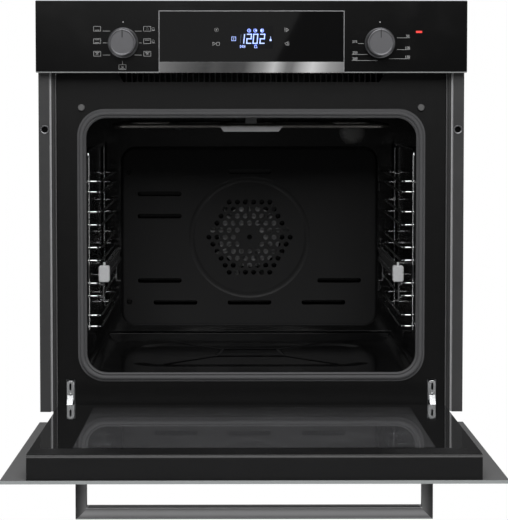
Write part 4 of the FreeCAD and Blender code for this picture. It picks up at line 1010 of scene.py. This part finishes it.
def rack_paths(sizes, side):
    """The tray wires, posts and wall pegs of one rack, as paths, and the points where they are welded."""
    inner = side * sizes.inner
    upright = side * sizes.upright
    wall = side * sizes.wall
    heights = [z * MM for pair in RACK_LEVELS for z in pair]
    loops = [[(upright, sizes.front, z), (inner, sizes.front, z),
              (inner, sizes.rear, z), (upright, sizes.rear, z)] for z in heights]
    low = heights[-1] - 5.0 * MM
    bow = [(upright, sizes.front, low), (upright, sizes.front, sizes.crown),
           (upright, sizes.rear, sizes.crown), (upright, sizes.rear, low)]
    posts = [bow]
    for y in (sizes.front, sizes.rear):
        posts += [[(upright, y, z), (wall, y, z)] for z in (heights[0] - 2.0 * MM, low + 8.0 * MM)]
    welds = [(upright, y, z) for y in (sizes.front, sizes.rear) for z in heights]
    return loops, posts, welds


class OVEN_OT_racks(bpy.types.Operator):
    """Welded wire racks on both side walls"""

    bl_idname = "oven.racks"
    bl_label = "Wire racks"

    def execute(self, context):
        sizes = context.scene.oven_rack
        wire = wire_growth()
        bead = bead_growth()
        chrome = bpy.data.materials["chrome_wire"]
        meshes = []
        for side in (-1.0, 1.0):
            loops, posts, welds = rack_paths(sizes, side)
            for name, paths, across in (("loops", loops, sizes.wire), ("posts", posts, sizes.post)):
                meshes.append(wire.grow(name, path_mesh(name, paths), {
                    "Bend": sizes.bend, "Sides": sizes.sides, "Finish": chrome, "Radius": across / 2.0}))
            meshes.append(bead.grow("welds", point_mesh("welds", welds), {
                "Radius": sizes.weld, "Finish": chrome}))
        place("wire_racks", joined("wire_racks", meshes), "casing", "chrome_wire", ["side_racks"])
        return {"FINISHED"}


class OVEN_OT_grill(bpy.types.Operator):
    """The outer and inner heating loops, which run back to the wall"""

    bl_idname = "oven.grill"
    bl_label = "Grill loops"

    def execute(self, context):
        sizes = context.scene.oven_heater
        z = MOUTH_HIGH - sizes.drop
        paths = []
        for half in (GRILL_OUTER, GRILL_INNER):
            mirrored = [(-x, y) for x, y in reversed(half)]
            paths.append([(x * MM, y * MM, z) for x, y in (*mirrored, *half)])
        tube = wire_growth().grow("grill_loops", path_mesh("grill_loops", paths), {
            "Radius": sizes.tube / 2.0, "Bend": sizes.bend, "Sides": sizes.sides,
            "Finish": bpy.data.materials["heater_steel"]})
        place("grill_loops", tube, "casing", "heater_steel", ["grill_elements"])
        return {"FINISHED"}


def mouth_ring(grow, corner, y, arc_steps=14, run_steps=10):
    """Points round the oven's mouth, grown outwards by a distance, at one depth."""
    half_x = MOUTH_HALF + grow
    half_z = (MOUTH_HIGH - MOUTH_LOW) / 2.0 + grow
    middle = (MOUTH_HIGH + MOUTH_LOW) / 2.0
    points = []
    corners = [(1, 1), (-1, 1), (-1, -1), (1, -1)]
    for index, (sx, sz) in enumerate(corners):
        centre = (sx * (half_x - corner), sz * (half_z - corner))
        for i in range(arc_steps + 1):
            angle = math.pi / 2.0 * (index + i / arc_steps)
            points.append((centre[0] + corner * math.cos(angle), centre[1] + corner * math.sin(angle)))
        follow = corners[(index + 1) % 4]
        target = (follow[0] * (half_x - corner), follow[1] * (half_z - corner))
        angle = math.pi / 2.0 * (index + 1)
        offset = (corner * math.cos(angle), corner * math.sin(angle))
        for i in range(1, run_steps):
            t = i / run_steps
            points.append((centre[0] + (target[0] - centre[0]) * t + offset[0],
                           centre[1] + (target[1] - centre[1]) * t + offset[1]))
    return [(x, y, middle + z) for x, z in points]


class OVEN_OT_seal(bpy.types.Operator):
    """The moulded seal: an outer foot, a hollow bulb and a double inner lip"""

    bl_idname = "oven.seal"
    bl_label = "Mouth seal"

    def execute(self, context):
        sizes = context.scene.oven_seal
        section = [(1.0, 0.01), (1.0, 0.20), (0.97, 0.33), (0.90, 0.38), (0.84, 0.36), (0.80, 0.40),
                   (0.76, 0.62), (0.70, 0.84), (0.61, 0.97), (0.52, 1.0), (0.43, 0.95), (0.36, 0.82),
                   (0.32, 0.62), (0.29, 0.46), (0.25, 0.44), (0.22, 0.56), (0.17, 0.62), (0.12, 0.56),
                   (0.10, 0.40), (0.07, 0.36), (0.04, 0.30), (0.0, 0.22), (0.0, 0.01)]
        rings = []
        for across, out in section:
            corner = sizes.inner_corner + (sizes.outer_corner - sizes.inner_corner) * across
            rings.append(mouth_ring(sizes.band * across, corner, -sizes.proud * out))
        work = bmesh.new()
        bridged(work, rings, True)
        place("mouth_seal", mesh_from(work, "mouth_seal", math.radians(60.0)), "casing", "seal_rubber",
              ["door_gasket"])
        return {"FINISHED"}


def knob_profile(sizes):
    """Flange, waist, barrel, chamfer and dished face, from the back to the axis at the front."""
    back = FRONT - sizes.gap
    flange = sizes.skirt / 2.0
    face = sizes.face / 2.0
    front = back - sizes.depth
    dish = front + 0.45 * MM
    grooves = []
    count = int((face - 2.6 * MM) / sizes.groove)
    for i in range(count, 1, -1):
        radius = sizes.groove * i
        grooves += [(radius, dish), (radius - sizes.groove * 0.5, dish + sizes.groove_depth)]
    return [(0.0, back), (flange - 0.6 * MM, back), (flange, back - 0.6 * MM), (flange, back - 1.9 * MM),
            (flange - 0.3 * MM, back - 2.6 * MM), (flange - 1.1 * MM, back - 3.0 * MM),
            (face + 1.6 * MM, back - 3.1 * MM), (face + 0.8 * MM, back - 3.6 * MM),
            (face + 0.7 * MM, back - 5.0 * MM), (face + 1.1 * MM, back - 5.6 * MM),
            (face + 0.5 * MM, front + 2.2 * MM), (face + 0.2 * MM, front + 1.0 * MM),
            (face - 0.5 * MM, front + 0.25 * MM), (face - 1.2 * MM, front),
            (face - 1.7 * MM, front), (face - 2.1 * MM, front + 0.35 * MM),
            *grooves, (sizes.groove, dish), (0.0, dish)]


class OVEN_OT_knobs(bpy.types.Operator):
    """Both knobs, turned from bar, each with its filled pointer line and its shaft"""

    bl_idname = "oven.knobs"
    bl_label = "Knobs"

    def execute(self, context):
        sizes = context.scene.oven_knob
        shaft_end = FRONT + 51.2 * MM
        back = FRONT - sizes.gap
        shaft_start = back + 0.01 * MM
        shaft = [(0.0, shaft_start), (3.0 * MM, shaft_start), (3.0 * MM, shaft_end - 0.5 * MM),
                 (2.6 * MM, shaft_end), (0.0, shaft_end)]
        for side, name in ((-1.0, "function"), (1.0, "temperature")):
            body = name + "_dial"
            centre = Vector((side * KNOB_X, 0.0, KNOB_Z))
            work = bmesh.new()
            turned(work, knob_profile(sizes), centre, sizes.steps)
            turned(work, shaft, centre, 32)
            place(name + "_turned_knob", mesh_from(work, name + "_turned_knob", math.radians(35.0)), body,
                  "knob_metal", [name + "_knob"])
            work = bmesh.new()
            face = sizes.face / 2.0
            low = centre.z + face * 0.36
            high = centre.z + face * 0.93
            half = 0.55 * MM
            y = back - sizes.depth - 0.02 * MM
            corners = [(centre.x - half, low), (centre.x + half, low), (centre.x + half, high),
                       (centre.x, high + half * 0.8), (centre.x - half, high)]
            closed_tube(work, [[(x, d, z) for x, z in corners] for d in (y, y + 0.7 * MM)])
            place(name + "_pointer", mesh_from(work, name + "_pointer"), body, "knob_metal", (),
                  "pointer_black")
        return {"FINISHED"}


class OVEN_OT_lens(bpy.types.Operator):
    """Pressed lamp glass with ribs down its side and over its dome"""

    bl_idname = "oven.lens"
    bl_label = "Lamp glass"

    def execute(self, context):
        low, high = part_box("lamp_lens")
        centre = (low + high) / 2.0
        radius = (high.x - low.x) / 2.0
        depth = high.y - low.y
        ribs = 20
        wall = 2.2 * MM
        outer = [(0.0, low.y), (radius * 0.22, low.y + 0.01 * depth), (radius * 0.45, low.y + 0.05 * depth),
                 (radius * 0.68, low.y + 0.15 * depth), (radius * 0.86, low.y + 0.30 * depth),
                 (radius * 0.95, low.y + 0.48 * depth), (radius * 0.97, low.y + 0.80 * depth),
                 (radius, low.y + 0.82 * depth), (radius, high.y)]
        inner = [(max(r - wall, 0.0), min(y + wall, high.y)) for r, y in reversed(outer)]

        def ribbed(angle, y):
            share = min(1.0, max(0.0, (low.y + 0.8 * depth - y) / (0.5 * depth)))
            return 1.0 - 0.035 * share * (0.5 + 0.5 * math.cos(ribs * angle))

        work = bmesh.new()
        turned(work, outer, centre, ribs * 8, ribbed)
        turned(work, inner, centre, ribs * 8)
        place("ribbed_lens", mesh_from(work, "ribbed_lens", math.radians(60.0)), "casing", "lamp_glass",
              ["lamp_lens"])
        return {"FINISHED"}


class OVEN_OT_bushes(bpy.types.Operator):
    """Rolled screw bushes in the side trims"""

    bl_idname = "oven.bushes"
    bl_label = "Screw bushes"

    def execute(self, context):
        low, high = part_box("trim_grommets")
        front = low.y
        outer = (high.z - low.z) / 2.0
        bore = outer - 2.1 * MM
        well = front + 6.0 * MM
        profile = [(0.0, well + 0.6 * MM), (bore + 0.4 * MM, well + 0.6 * MM), (bore + 0.4 * MM, high.y),
                   (outer, high.y), (outer, front + 0.8 * MM), (outer - 0.5 * MM, front + 0.1 * MM),
                   (outer - 1.1 * MM, front), (bore + 0.2 * MM, front + 0.3 * MM), (bore, front + 1.2 * MM),
                   (bore, well), (0.0, well)]
        work = bmesh.new()
        for side in (-1.0, 1.0):
            turned(work, profile, Vector((side * (high.x - outer), 0.0, (high.z + low.z) / 2.0)), 40)
        place("screw_bushes", mesh_from(work, "screw_bushes"), "casing", "grommet_chrome", ["trim_grommets"],
              "bush_metal")
        return {"FINISHED"}


def rounded_loop(centre, half_width, half_height, corner, steps=6):
    """Points round an upright rectangle with rounded corners, as (x, z)."""
    points = []
    for index, (sx, sz) in enumerate(((1, 1), (-1, 1), (-1, -1), (1, -1))):
        middle = (centre[0] + sx * (half_width - corner), centre[1] + sz * (half_height - corner))
        for i in range(steps + 1):
            angle = math.pi / 2.0 * (index + i / steps)
            points.append((middle[0] + corner * math.cos(angle), middle[1] + corner * math.sin(angle)))
    return points


class OVEN_OT_levers(bpy.types.Operator):
    """Pressed hinge levers: a round-topped channel with a pierced slot and a raised tongue"""

    bl_idname = "oven.levers"
    bl_label = "Hinge levers"

    def execute(self, context):
        for side in ("left", "right"):
            low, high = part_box("hinge_lever_" + side)
            centre = (low + high) / 2.0
            half = (high.x - low.x) / 2.0
            tall = (high.z - low.z) / 2.0
            sheet = 1.2 * MM
            face = low.y
            work = bmesh.new()
            outer = rounded_loop((centre.x, centre.z), half, tall, half * 0.7)
            slot = rounded_loop((centre.x, centre.z + tall * 0.4), half * 0.28, tall * 0.34, half * 0.2)
            lip = rounded_loop((centre.x, centre.z), half - 0.5 * MM, tall - 0.5 * MM, half * 0.6)
            layers = [(slot, face + sheet), (slot, face), (lip, face), (outer, face + 0.5 * MM),
                      (outer, face + sheet)]
            bridged(work, [[(x, y, z) for x, z in loop] for loop, y in layers], True)
            tongue = rounded_loop((centre.x, centre.z - tall * 0.42), half * 0.46, tall * 0.2, half * 0.3)
            peak = rounded_loop((centre.x, centre.z - tall * 0.36), half * 0.16, tall * 0.06, half * 0.1)
            closed_tube(work, [[(x, face + 0.3 * MM, z) for x, z in tongue],
                               [(x, face - 0.9 * MM, z) for x, z in peak]])
            start = face + sheet
            stop = high.y - 2.0 * MM
            for edge in (-1.0, 1.0):
                wall = [(centre.x + edge * (half - sheet * k), y)
                        for k, y in ((0.0, start), (0.0, stop), (0.8, stop), (0.8, start))]
                closed_tube(work, [[(x, y, z) for x, y in wall] for z in (low.z, high.z - 4.5 * MM)])
            name = side + "_pressed_lever"
            place(name, mesh_from(work, name), side + "_lock", "hinge_steel", ["hinge_lever_" + side])
        return {"FINISHED"}


# --------------------------------------------------------------------------------------------------------
# Markings on the panel
# --------------------------------------------------------------------------------------------------------
class Marks:
    """Flat strokes on the control panel, in millimetres, each a thin plate just proud of the glass."""

    def __init__(self, y, line=0.5):
        self.work = bmesh.new()
        self.y = y
        self.line = line

    def plate(self, corners):
        """One closed outline as a thin plate."""
        depth = 0.04 * MM
        closed_tube(self.work, [[(x * MM, self.y - d, z * MM) for x, z in corners] for d in (0.0, depth)])

    def stroke(self, *points):
        """A line through the points."""
        half = self.line / 2.0
        for (x0, z0), (x1, z1) in zip(points, points[1:]):
            run = math.hypot(x1 - x0, z1 - z0)
            ux, uz = (x1 - x0) / run * half, (z1 - z0) / run * half
            self.plate([(x0 - ux + uz, z0 - uz - ux), (x1 + ux + uz, z1 + uz - ux),
                        (x1 + ux - uz, z1 + uz + ux), (x0 - ux - uz, z0 - uz + ux)])

    def frame(self, x, z, width, height):
        """The outline of a rectangle about a centre."""
        w, h = width / 2.0, height / 2.0
        self.stroke((x - w, z - h), (x + w, z - h), (x + w, z + h), (x - w, z + h), (x - w, z - h))

    def arc(self, x, z, radius, start=0.0, end=360.0, steps=20):
        """Part of a circle, in degrees from the right."""
        angles = [math.radians(start + (end - start) * i / steps) for i in range(steps + 1)]
        self.stroke(*[(x + radius * math.cos(a), z + radius * math.sin(a)) for a in angles])

    def dot(self, x, z, radius, steps=16):
        """A filled circle."""
        turns = [2.0 * math.pi * i / steps for i in range(steps)]
        self.plate([(x + radius * math.cos(a), z + radius * math.sin(a)) for a in turns])

    def digit(self, digit, x, z, width, height, lean=0.14):
        """One leaning seven-segment digit about a centre."""
        for segment in SEGMENTS[digit]:
            ends = [(ax - 0.5, az - 0.5) for ax, az in STROKES[segment]]
            self.stroke(*[(x + ax * width + az * height * lean, z + az * height) for ax, az in ends])

    def number(self, text, x, z, height):
        """A number in plain type, centred at a place."""
        curve = bpy.data.curves.new("number", "FONT")
        curve.body = text
        curve.extrude = 0.01
        holder = bpy.data.objects.new("number", curve)
        bpy.context.scene.collection.objects.link(holder)
        graph = bpy.context.evaluated_depsgraph_get()
        flat = bpy.data.meshes.new_from_object(holder.evaluated_get(graph))
        bpy.data.objects.remove(holder)
        across = [v.co.x for v in flat.vertices]
        up = [v.co.y for v in flat.vertices]
        scale = height / (max(up) - min(up)) * MM
        middle = Vector(((max(across) + min(across)) / 2.0, (max(up) + min(up)) / 2.0, 0.0))
        for vertex in flat.vertices:
            off = (vertex.co - middle) * scale
            vertex.co = (x * MM + off.x, self.y - off.z, z * MM + off.y)
        self.work.from_mesh(flat)

    def ends(self, name, finish, slot):
        """Places the strokes as one piece."""
        mesh = bpy.data.meshes.new(name)
        bmesh.ops.recalc_face_normals(self.work, faces=self.work.faces)
        self.work.to_mesh(mesh)
        self.work.free()
        return place(name, mesh, "casing", slot, (), finish)


def function_icon(marks, kind, x, z):
    """One cooking function: a small oven outline with its heaters or fan."""
    marks.frame(x, z, 9.8, 6.6)
    if "top" in kind:
        marks.stroke((x - 3.0, z + 1.9), (x + 3.0, z + 1.9))
    if "low" in kind:
        marks.stroke((x - 3.0, z - 1.9), (x + 3.0, z - 1.9))
    if "grill" in kind:
        for dx in (-2.0, 0.0, 2.0):
            marks.stroke((x + dx - 1.0, z + 2.0), (x + dx, z + 0.9), (x + dx + 1.0, z + 2.0))
    if "fan" in kind:
        marks.stroke((x - 1.4, z - 1.2), (x + 1.4, z + 1.2))
        marks.stroke((x - 1.4, z + 1.2), (x + 1.4, z - 1.2))
    if "lamp" in kind:
        marks.arc(x, z, 1.5)


class OVEN_OT_markings(bpy.types.Operator):
    """Symbols and numbers round the knobs, touch symbols, and the clock's digits"""

    bl_idname = "oven.markings"
    bl_label = "Markings"

    def execute(self, context):
        self.panel_print()
        self.touch_print()
        self.clock()
        return {"FINISHED"}

    def panel_print(self):
        marks = Marks(FRONT, 0.42)
        for kind, z in zip(("low", "top low", "top fan"), ICON_ROWS):
            function_icon(marks, kind, ICON_LEFT, z)
        for kind, z in zip(("lamp", "grill", "grill fan"), ICON_ROWS):
            function_icon(marks, kind, ICON_RIGHT, z)
        for x0, x1, z in ((-204.7, -195.0, 552.8), (-204.7, -195.0, 536.6), (-204.7, -195.0, 519.9),
                          (-160.4, -151.8, 552.8), (-154.5, -151.8, 536.6), (-161.4, -151.8, 519.9)):
            marks.stroke((x0, z), (x1, z))
        for z in ICON_ROWS[:2]:
            marks.arc(-135.5, z, 1.7, 20.0, 340.0, 12)
            marks.stroke((-137.4, z - 2.4), (-133.6, z - 2.4))
        function_icon(marks, "low fan", ICON_BELOW, 503.3)
        marks.stroke((ICON_BELOW, 507.4), (ICON_BELOW, 511.6))
        for x in (-KNOB_X / MM, KNOB_X / MM):
            marks.dot(x, 565.3, 0.9)
        scale = (("50", 215.4, 545.9, 200.8, 218.2), ("100", 215.4, 529.6, 200.8, 218.2),
                 ("150", 215.4, 517.1, 189.7, 218.2), ("200", 142.6, 514.7, 138.4, 173.8),
                 ("250", 142.6, 523.0, 138.4, 159.9), ("275", 142.2, 538.0, 147.0, 154.7))
        for text, x, z, x0, x1 in scale:
            marks.number(text, x, z + 0.4, 3.3)
            marks.stroke((x0, z - 2.2), (x1, z - 2.2))
        marks.ends("panel_print", "print_white", "panel_glass")

    def touch_print(self):
        marks = Marks(FRONT, 0.5)
        marks.arc(-48.4, 554.6, 2.6)
        marks.dot(-48.4, 554.6, 0.9)
        marks.stroke((-53.4, 533.0), (-53.4, 537.8), (-49.8, 535.4), (-53.4, 533.0))
        marks.frame(-46.4, 535.4, 4.2, 4.2)
        for z, away in ((554.6, 1.0), (535.7, -1.0)):
            bar = TOUCH_RIGHT - away * 2.6
            foot = TOUCH_RIGHT - away * 0.8
            marks.stroke((bar, z - 2.8), (bar, z + 2.8))
            marks.stroke((foot, z - 2.6), (TOUCH_RIGHT + away * 2.6, z), (foot, z + 2.6), (foot, z - 2.6))
        marks.ends("touch_print", "print_white", "panel_glass")

    def clock(self):
        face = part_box("display_window")[0].y
        height = 542.3
        lit = Marks(face, 1.4)
        lit.stroke((-10.2, height + 0.7), (-9.6, height + 5.8))
        lit.stroke((-10.4, height - 0.7), (-10.9, height - 5.8))
        for digit, x in (("2", -3.5), ("0", 5.3), ("2", 14.8)):
            lit.digit(digit, x, height, 5.6, 12.4, 0.08)
        lit.line = 0.55
        top = height + 11.3
        for x in (-3.5, 5.1, 14.5):
            lit.arc(x, top, 2.2, 0.0, 360.0, 14)
        lit.stroke((-3.5, top + 1.2), (-3.5, top), (-2.4, top - 0.6))
        lit.dot(5.9, top, 1.1)
        lit.dot(13.8, top, 1.5)
        lit.frame(-24.6, height, 5.6, 5.2)
        lit.stroke((-24.6, height - 1.2), (-24.6, height + 1.2))
        lit.stroke((26.2, height + 3.0), (26.2, height - 1.0))
        lit.dot(26.2, height - 1.8, 1.5)
        low = height - 10.6
        for x in (-15.6, -12.2):
            lit.stroke((x, low - 1.7), (x, low + 1.7), (x + 2.6, low), (x, low - 1.7))
        lit.stroke((-9.2, low - 1.8), (-9.2, low + 1.8))
        lit.arc(5.6, low + 0.8, 1.3, 0.0, 180.0, 8)
        lit.stroke((6.9, low + 0.8), (7.4, low - 1.8), (3.8, low - 1.8), (4.3, low + 0.8))
        lit.ends("clock_digits", "print_lit", "screen")
        dim = Marks(face, 0.8)
        dim.stroke((-15.0, height + 0.7), (-14.5, height + 5.8))
        dim.stroke((-15.1, height - 0.7), (-15.5, height - 5.8))
        dim.ends("clock_ghost", "print_dim", "screen")


# --------------------------------------------------------------------------------------------------------
# Casing details
# --------------------------------------------------------------------------------------------------------
class OVEN_OT_fixings(bpy.types.Operator):
    """Sheet-metal screws round the casing and on its rear cover, and pressed ribs in the side sheets"""

    bl_idname = "oven.fixings"
    bl_label = "Fixings and ribs"

    def execute(self, context):
        self.screws()
        self.ribs()
        return {"FINISHED"}

    def screws(self):
        side_low, side_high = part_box("side_panels")
        top_low, top_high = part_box("top_cover")
        rear_low, rear_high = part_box("rear_cover")
        points = []
        aims = []
        edge = 12.0 * MM
        for side in (-1.0, 1.0):
            for y in (side_low.y + edge, side_high.y - edge):
                for share in (0.06, 0.35, 0.65, 0.94):
                    z = side_low.z + (side_high.z - side_low.z) * share
                    points.append((side * side_high.x, y, z))
                    aims.append((side, 0.0, 0.0))
        for share in (0.05, 0.35, 0.65, 0.95):
            x = top_low.x + (top_high.x - top_low.x) * share
            for y in (top_low.y + edge, top_high.y - edge):
                points.append((x, y, top_high.z))
                aims.append((0.0, 0.0, 1.0))
        self.screw_set("casing_screws", points, aims)
        points = []
        for share in (0.04, 0.36, 0.64, 0.96):
            x = rear_low.x + (rear_high.x - rear_low.x) * share
            for z in (rear_low.z + edge, rear_high.z - edge):
                points.append((x, rear_high.y - 0.6 * MM, z))
        self.screw_set("rear_screws", points, [(0.0, 1.0, 0.0)] * len(points))

    def screw_set(self, name, points, aims):
        """Screws at the points, as one piece."""
        grown = screw_growth().grow(name, point_mesh(name, points, aims), {
            "Radius": SCREW_RADIUS, "Height": SCREW_HEIGHT, "Finish": bpy.data.materials["motor_steel"]})
        place(name, grown, "casing", "motor_steel")

    def ribs(self):
        side_low, side_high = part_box("side_panels")
        radius = 7.0 * MM
        sunk = radius - 1.3 * MM
        deep = radius + 0.2 * MM
        paths = []
        for side in (-1.0, 1.0):
            x = side * (side_high.x - sunk)
            inside = side * (side_high.x - deep)
            for share in (0.2, 0.5, 0.8):
                y = side_low.y + (side_high.y - side_low.y) * share
                low = side_low.z + 70.0 * MM
                high = side_high.z - 130.0 * MM
                paths.append([(inside, y, low), (x, y, low + 14.0 * MM), (x, y, high - 14.0 * MM),
                              (inside, y, high)])
        grown = wire_growth().grow("side_ribs", path_mesh("side_ribs", paths), {
            "Radius": radius, "Bend": 10.0 * MM, "Sides": 40, "Finish": bpy.data.materials["casing_zinc"]})
        place("side_ribs", grown, "casing", "casing_zinc")


class OVEN_OT_finishes(bpy.types.Operator):
    """Makes every finish and gives each carried piece its own"""

    bl_idname = "oven.finishes"
    bl_label = "Finishes"

    def execute(self, context):
        made = make_finishes(context.scene.oven_finish)
        for name, node in frame["nodes"].items():
            for slot in node.material_slots:
                slot.material = made[OWN_FINISH.get(name, slot.material.name.split(".")[0])]
        return {"FINISHED"}


# --------------------------------------------------------------------------------------------------------
# Stage
# --------------------------------------------------------------------------------------------------------
def stage_finish():
    """White floor, lit evenly."""
    f = Finish("stage_floor")
    tone = f.blend(f.noise(3.0, 3.0), (0.55, 0.55, 0.55), (0.6, 0.6, 0.6))
    return f.done(f.shade({
        "Base Color": tone,
        "Roughness": 0.9,
        "Emission Color": WHITE,
        "Emission Strength": 1.0,
    }))


def soft_box(name, place_at, aim_at, width, height, radiance, roll):
    """A rectangular light of an even radiance."""
    light = bpy.data.lights.new(name, "AREA")
    light.shape = "RECTANGLE"
    light.size = width
    light.size_y = height
    light.energy = radiance * math.pi * width * height
    lamp = bpy.data.objects.new(name, light)
    bpy.context.scene.collection.objects.link(lamp)
    direction = Vector(aim_at) - Vector(place_at)
    turn = direction.to_track_quat("-Z", "Y").to_matrix().to_4x4()
    lamp.matrix_world = Matrix.Translation(place_at) @ turn @ Matrix.Rotation(roll, 4, "Z")


def studio_air(daylight):
    """White seen by the camera, and a dimmer even light on the object."""
    world = bpy.data.worlds.new("studio")
    world.use_nodes = True
    tree = world.node_tree
    tree.nodes.clear()
    seen = add_node(tree, "ShaderNodeLightPath", {}, {}).outputs["Is Camera Ray"]
    dim = add_node(tree, "ShaderNodeBackground", {}, {"Color": WHITE, "Strength": daylight})
    white = add_node(tree, "ShaderNodeBackground", {}, {"Color": WHITE, "Strength": 1.0})
    mixed = add_node(tree, "ShaderNodeMixShader", {}, {0: seen, 1: dim.outputs[0], 2: white.outputs[0]})
    add_node(tree, "ShaderNodeOutputWorld", {}, {"Surface": mixed.outputs[0]})
    bpy.context.scene.world = world


class OVEN_OT_stage(bpy.types.Operator):
    """Floor, soft lights and camera"""

    bl_idname = "oven.stage"
    bl_label = "Stage"

    def execute(self, context):
        scene = context.scene
        sizes = scene.oven_stage
        lowest = cad_box[0].z - sizes.floor_drop
        half = 1.4
        mesh = bpy.data.meshes.new("floor")
        corners = [(x * half, y * half, lowest) for x, y in ((-1, -1), (1, -1), (1, 1), (-1, 1))]
        mesh.from_pydata(corners, [], [(0, 1, 2, 3)])
        floor = bpy.data.objects.new("floor", mesh)
        scene.collection.objects.link(floor)
        mesh.materials.append(stage_finish())
        for light in LIGHTS:
            soft_box(*light)
        studio_air(0.05)
        scene.view_settings.view_transform = "Standard"
        lens = bpy.data.cameras.new("camera")
        lens.lens = sizes.lens
        lens.sensor_width = 36.0
        lens.shift_y = sizes.rise
        lens.clip_end = 60.0
        camera = bpy.data.objects.new("camera", lens)
        scene.collection.objects.link(camera)
        camera.location = sizes.camera_place
        camera.rotation_euler = (math.pi / 2.0 - sizes.pitch, 0.0, -sizes.turn)
        scene.camera = camera
        return {"FINISHED"}


class OVEN_PT_tools(bpy.types.Panel):
    """The oven's pieces"""

    bl_label = "Oven"
    bl_idname = "OVEN_PT_tools"
    bl_space_type = "VIEW_3D"
    bl_region_type = "UI"
    bl_category = "Oven"

    def draw(self, context):
        for step in STEPS:
            self.layout.operator(step.bl_idname)
        for name, group in GROUPS.items():
            settings = getattr(context.scene, name)
            for key in group.__annotations__:
                self.layout.prop(settings, key)


GROUPS = {"oven_rack": OvenRackSizes, "oven_heater": OvenHeaterSizes, "oven_seal": OvenSealSizes,
          "oven_knob": OvenKnobSizes, "oven_finish": OvenFinishes, "oven_stage": OvenStage}
STEPS = (OVEN_OT_stage, OVEN_OT_finishes, OVEN_OT_racks, OVEN_OT_grill, OVEN_OT_seal, OVEN_OT_knobs,
         OVEN_OT_lens, OVEN_OT_bushes, OVEN_OT_levers, OVEN_OT_markings, OVEN_OT_fixings)
CLASSES = (*GROUPS.values(), *STEPS, OVEN_PT_tools)


def register():
    for each in CLASSES:
        bpy.utils.register_class(each)
    for name, group in GROUPS.items():
        setattr(bpy.types.Scene, name, PointerProperty(type=group))


def unregister():
    for name in GROUPS:
        delattr(bpy.types.Scene, name)
    for each in reversed(CLASSES):
        bpy.utils.unregister_class(each)


def main():
    """Makes every piece."""
    register()
    for step in STEPS:
        family, action = step.bl_idname.split(".")
        getattr(getattr(bpy.ops, family), action)()


if __name__ == "__main__":
    main()
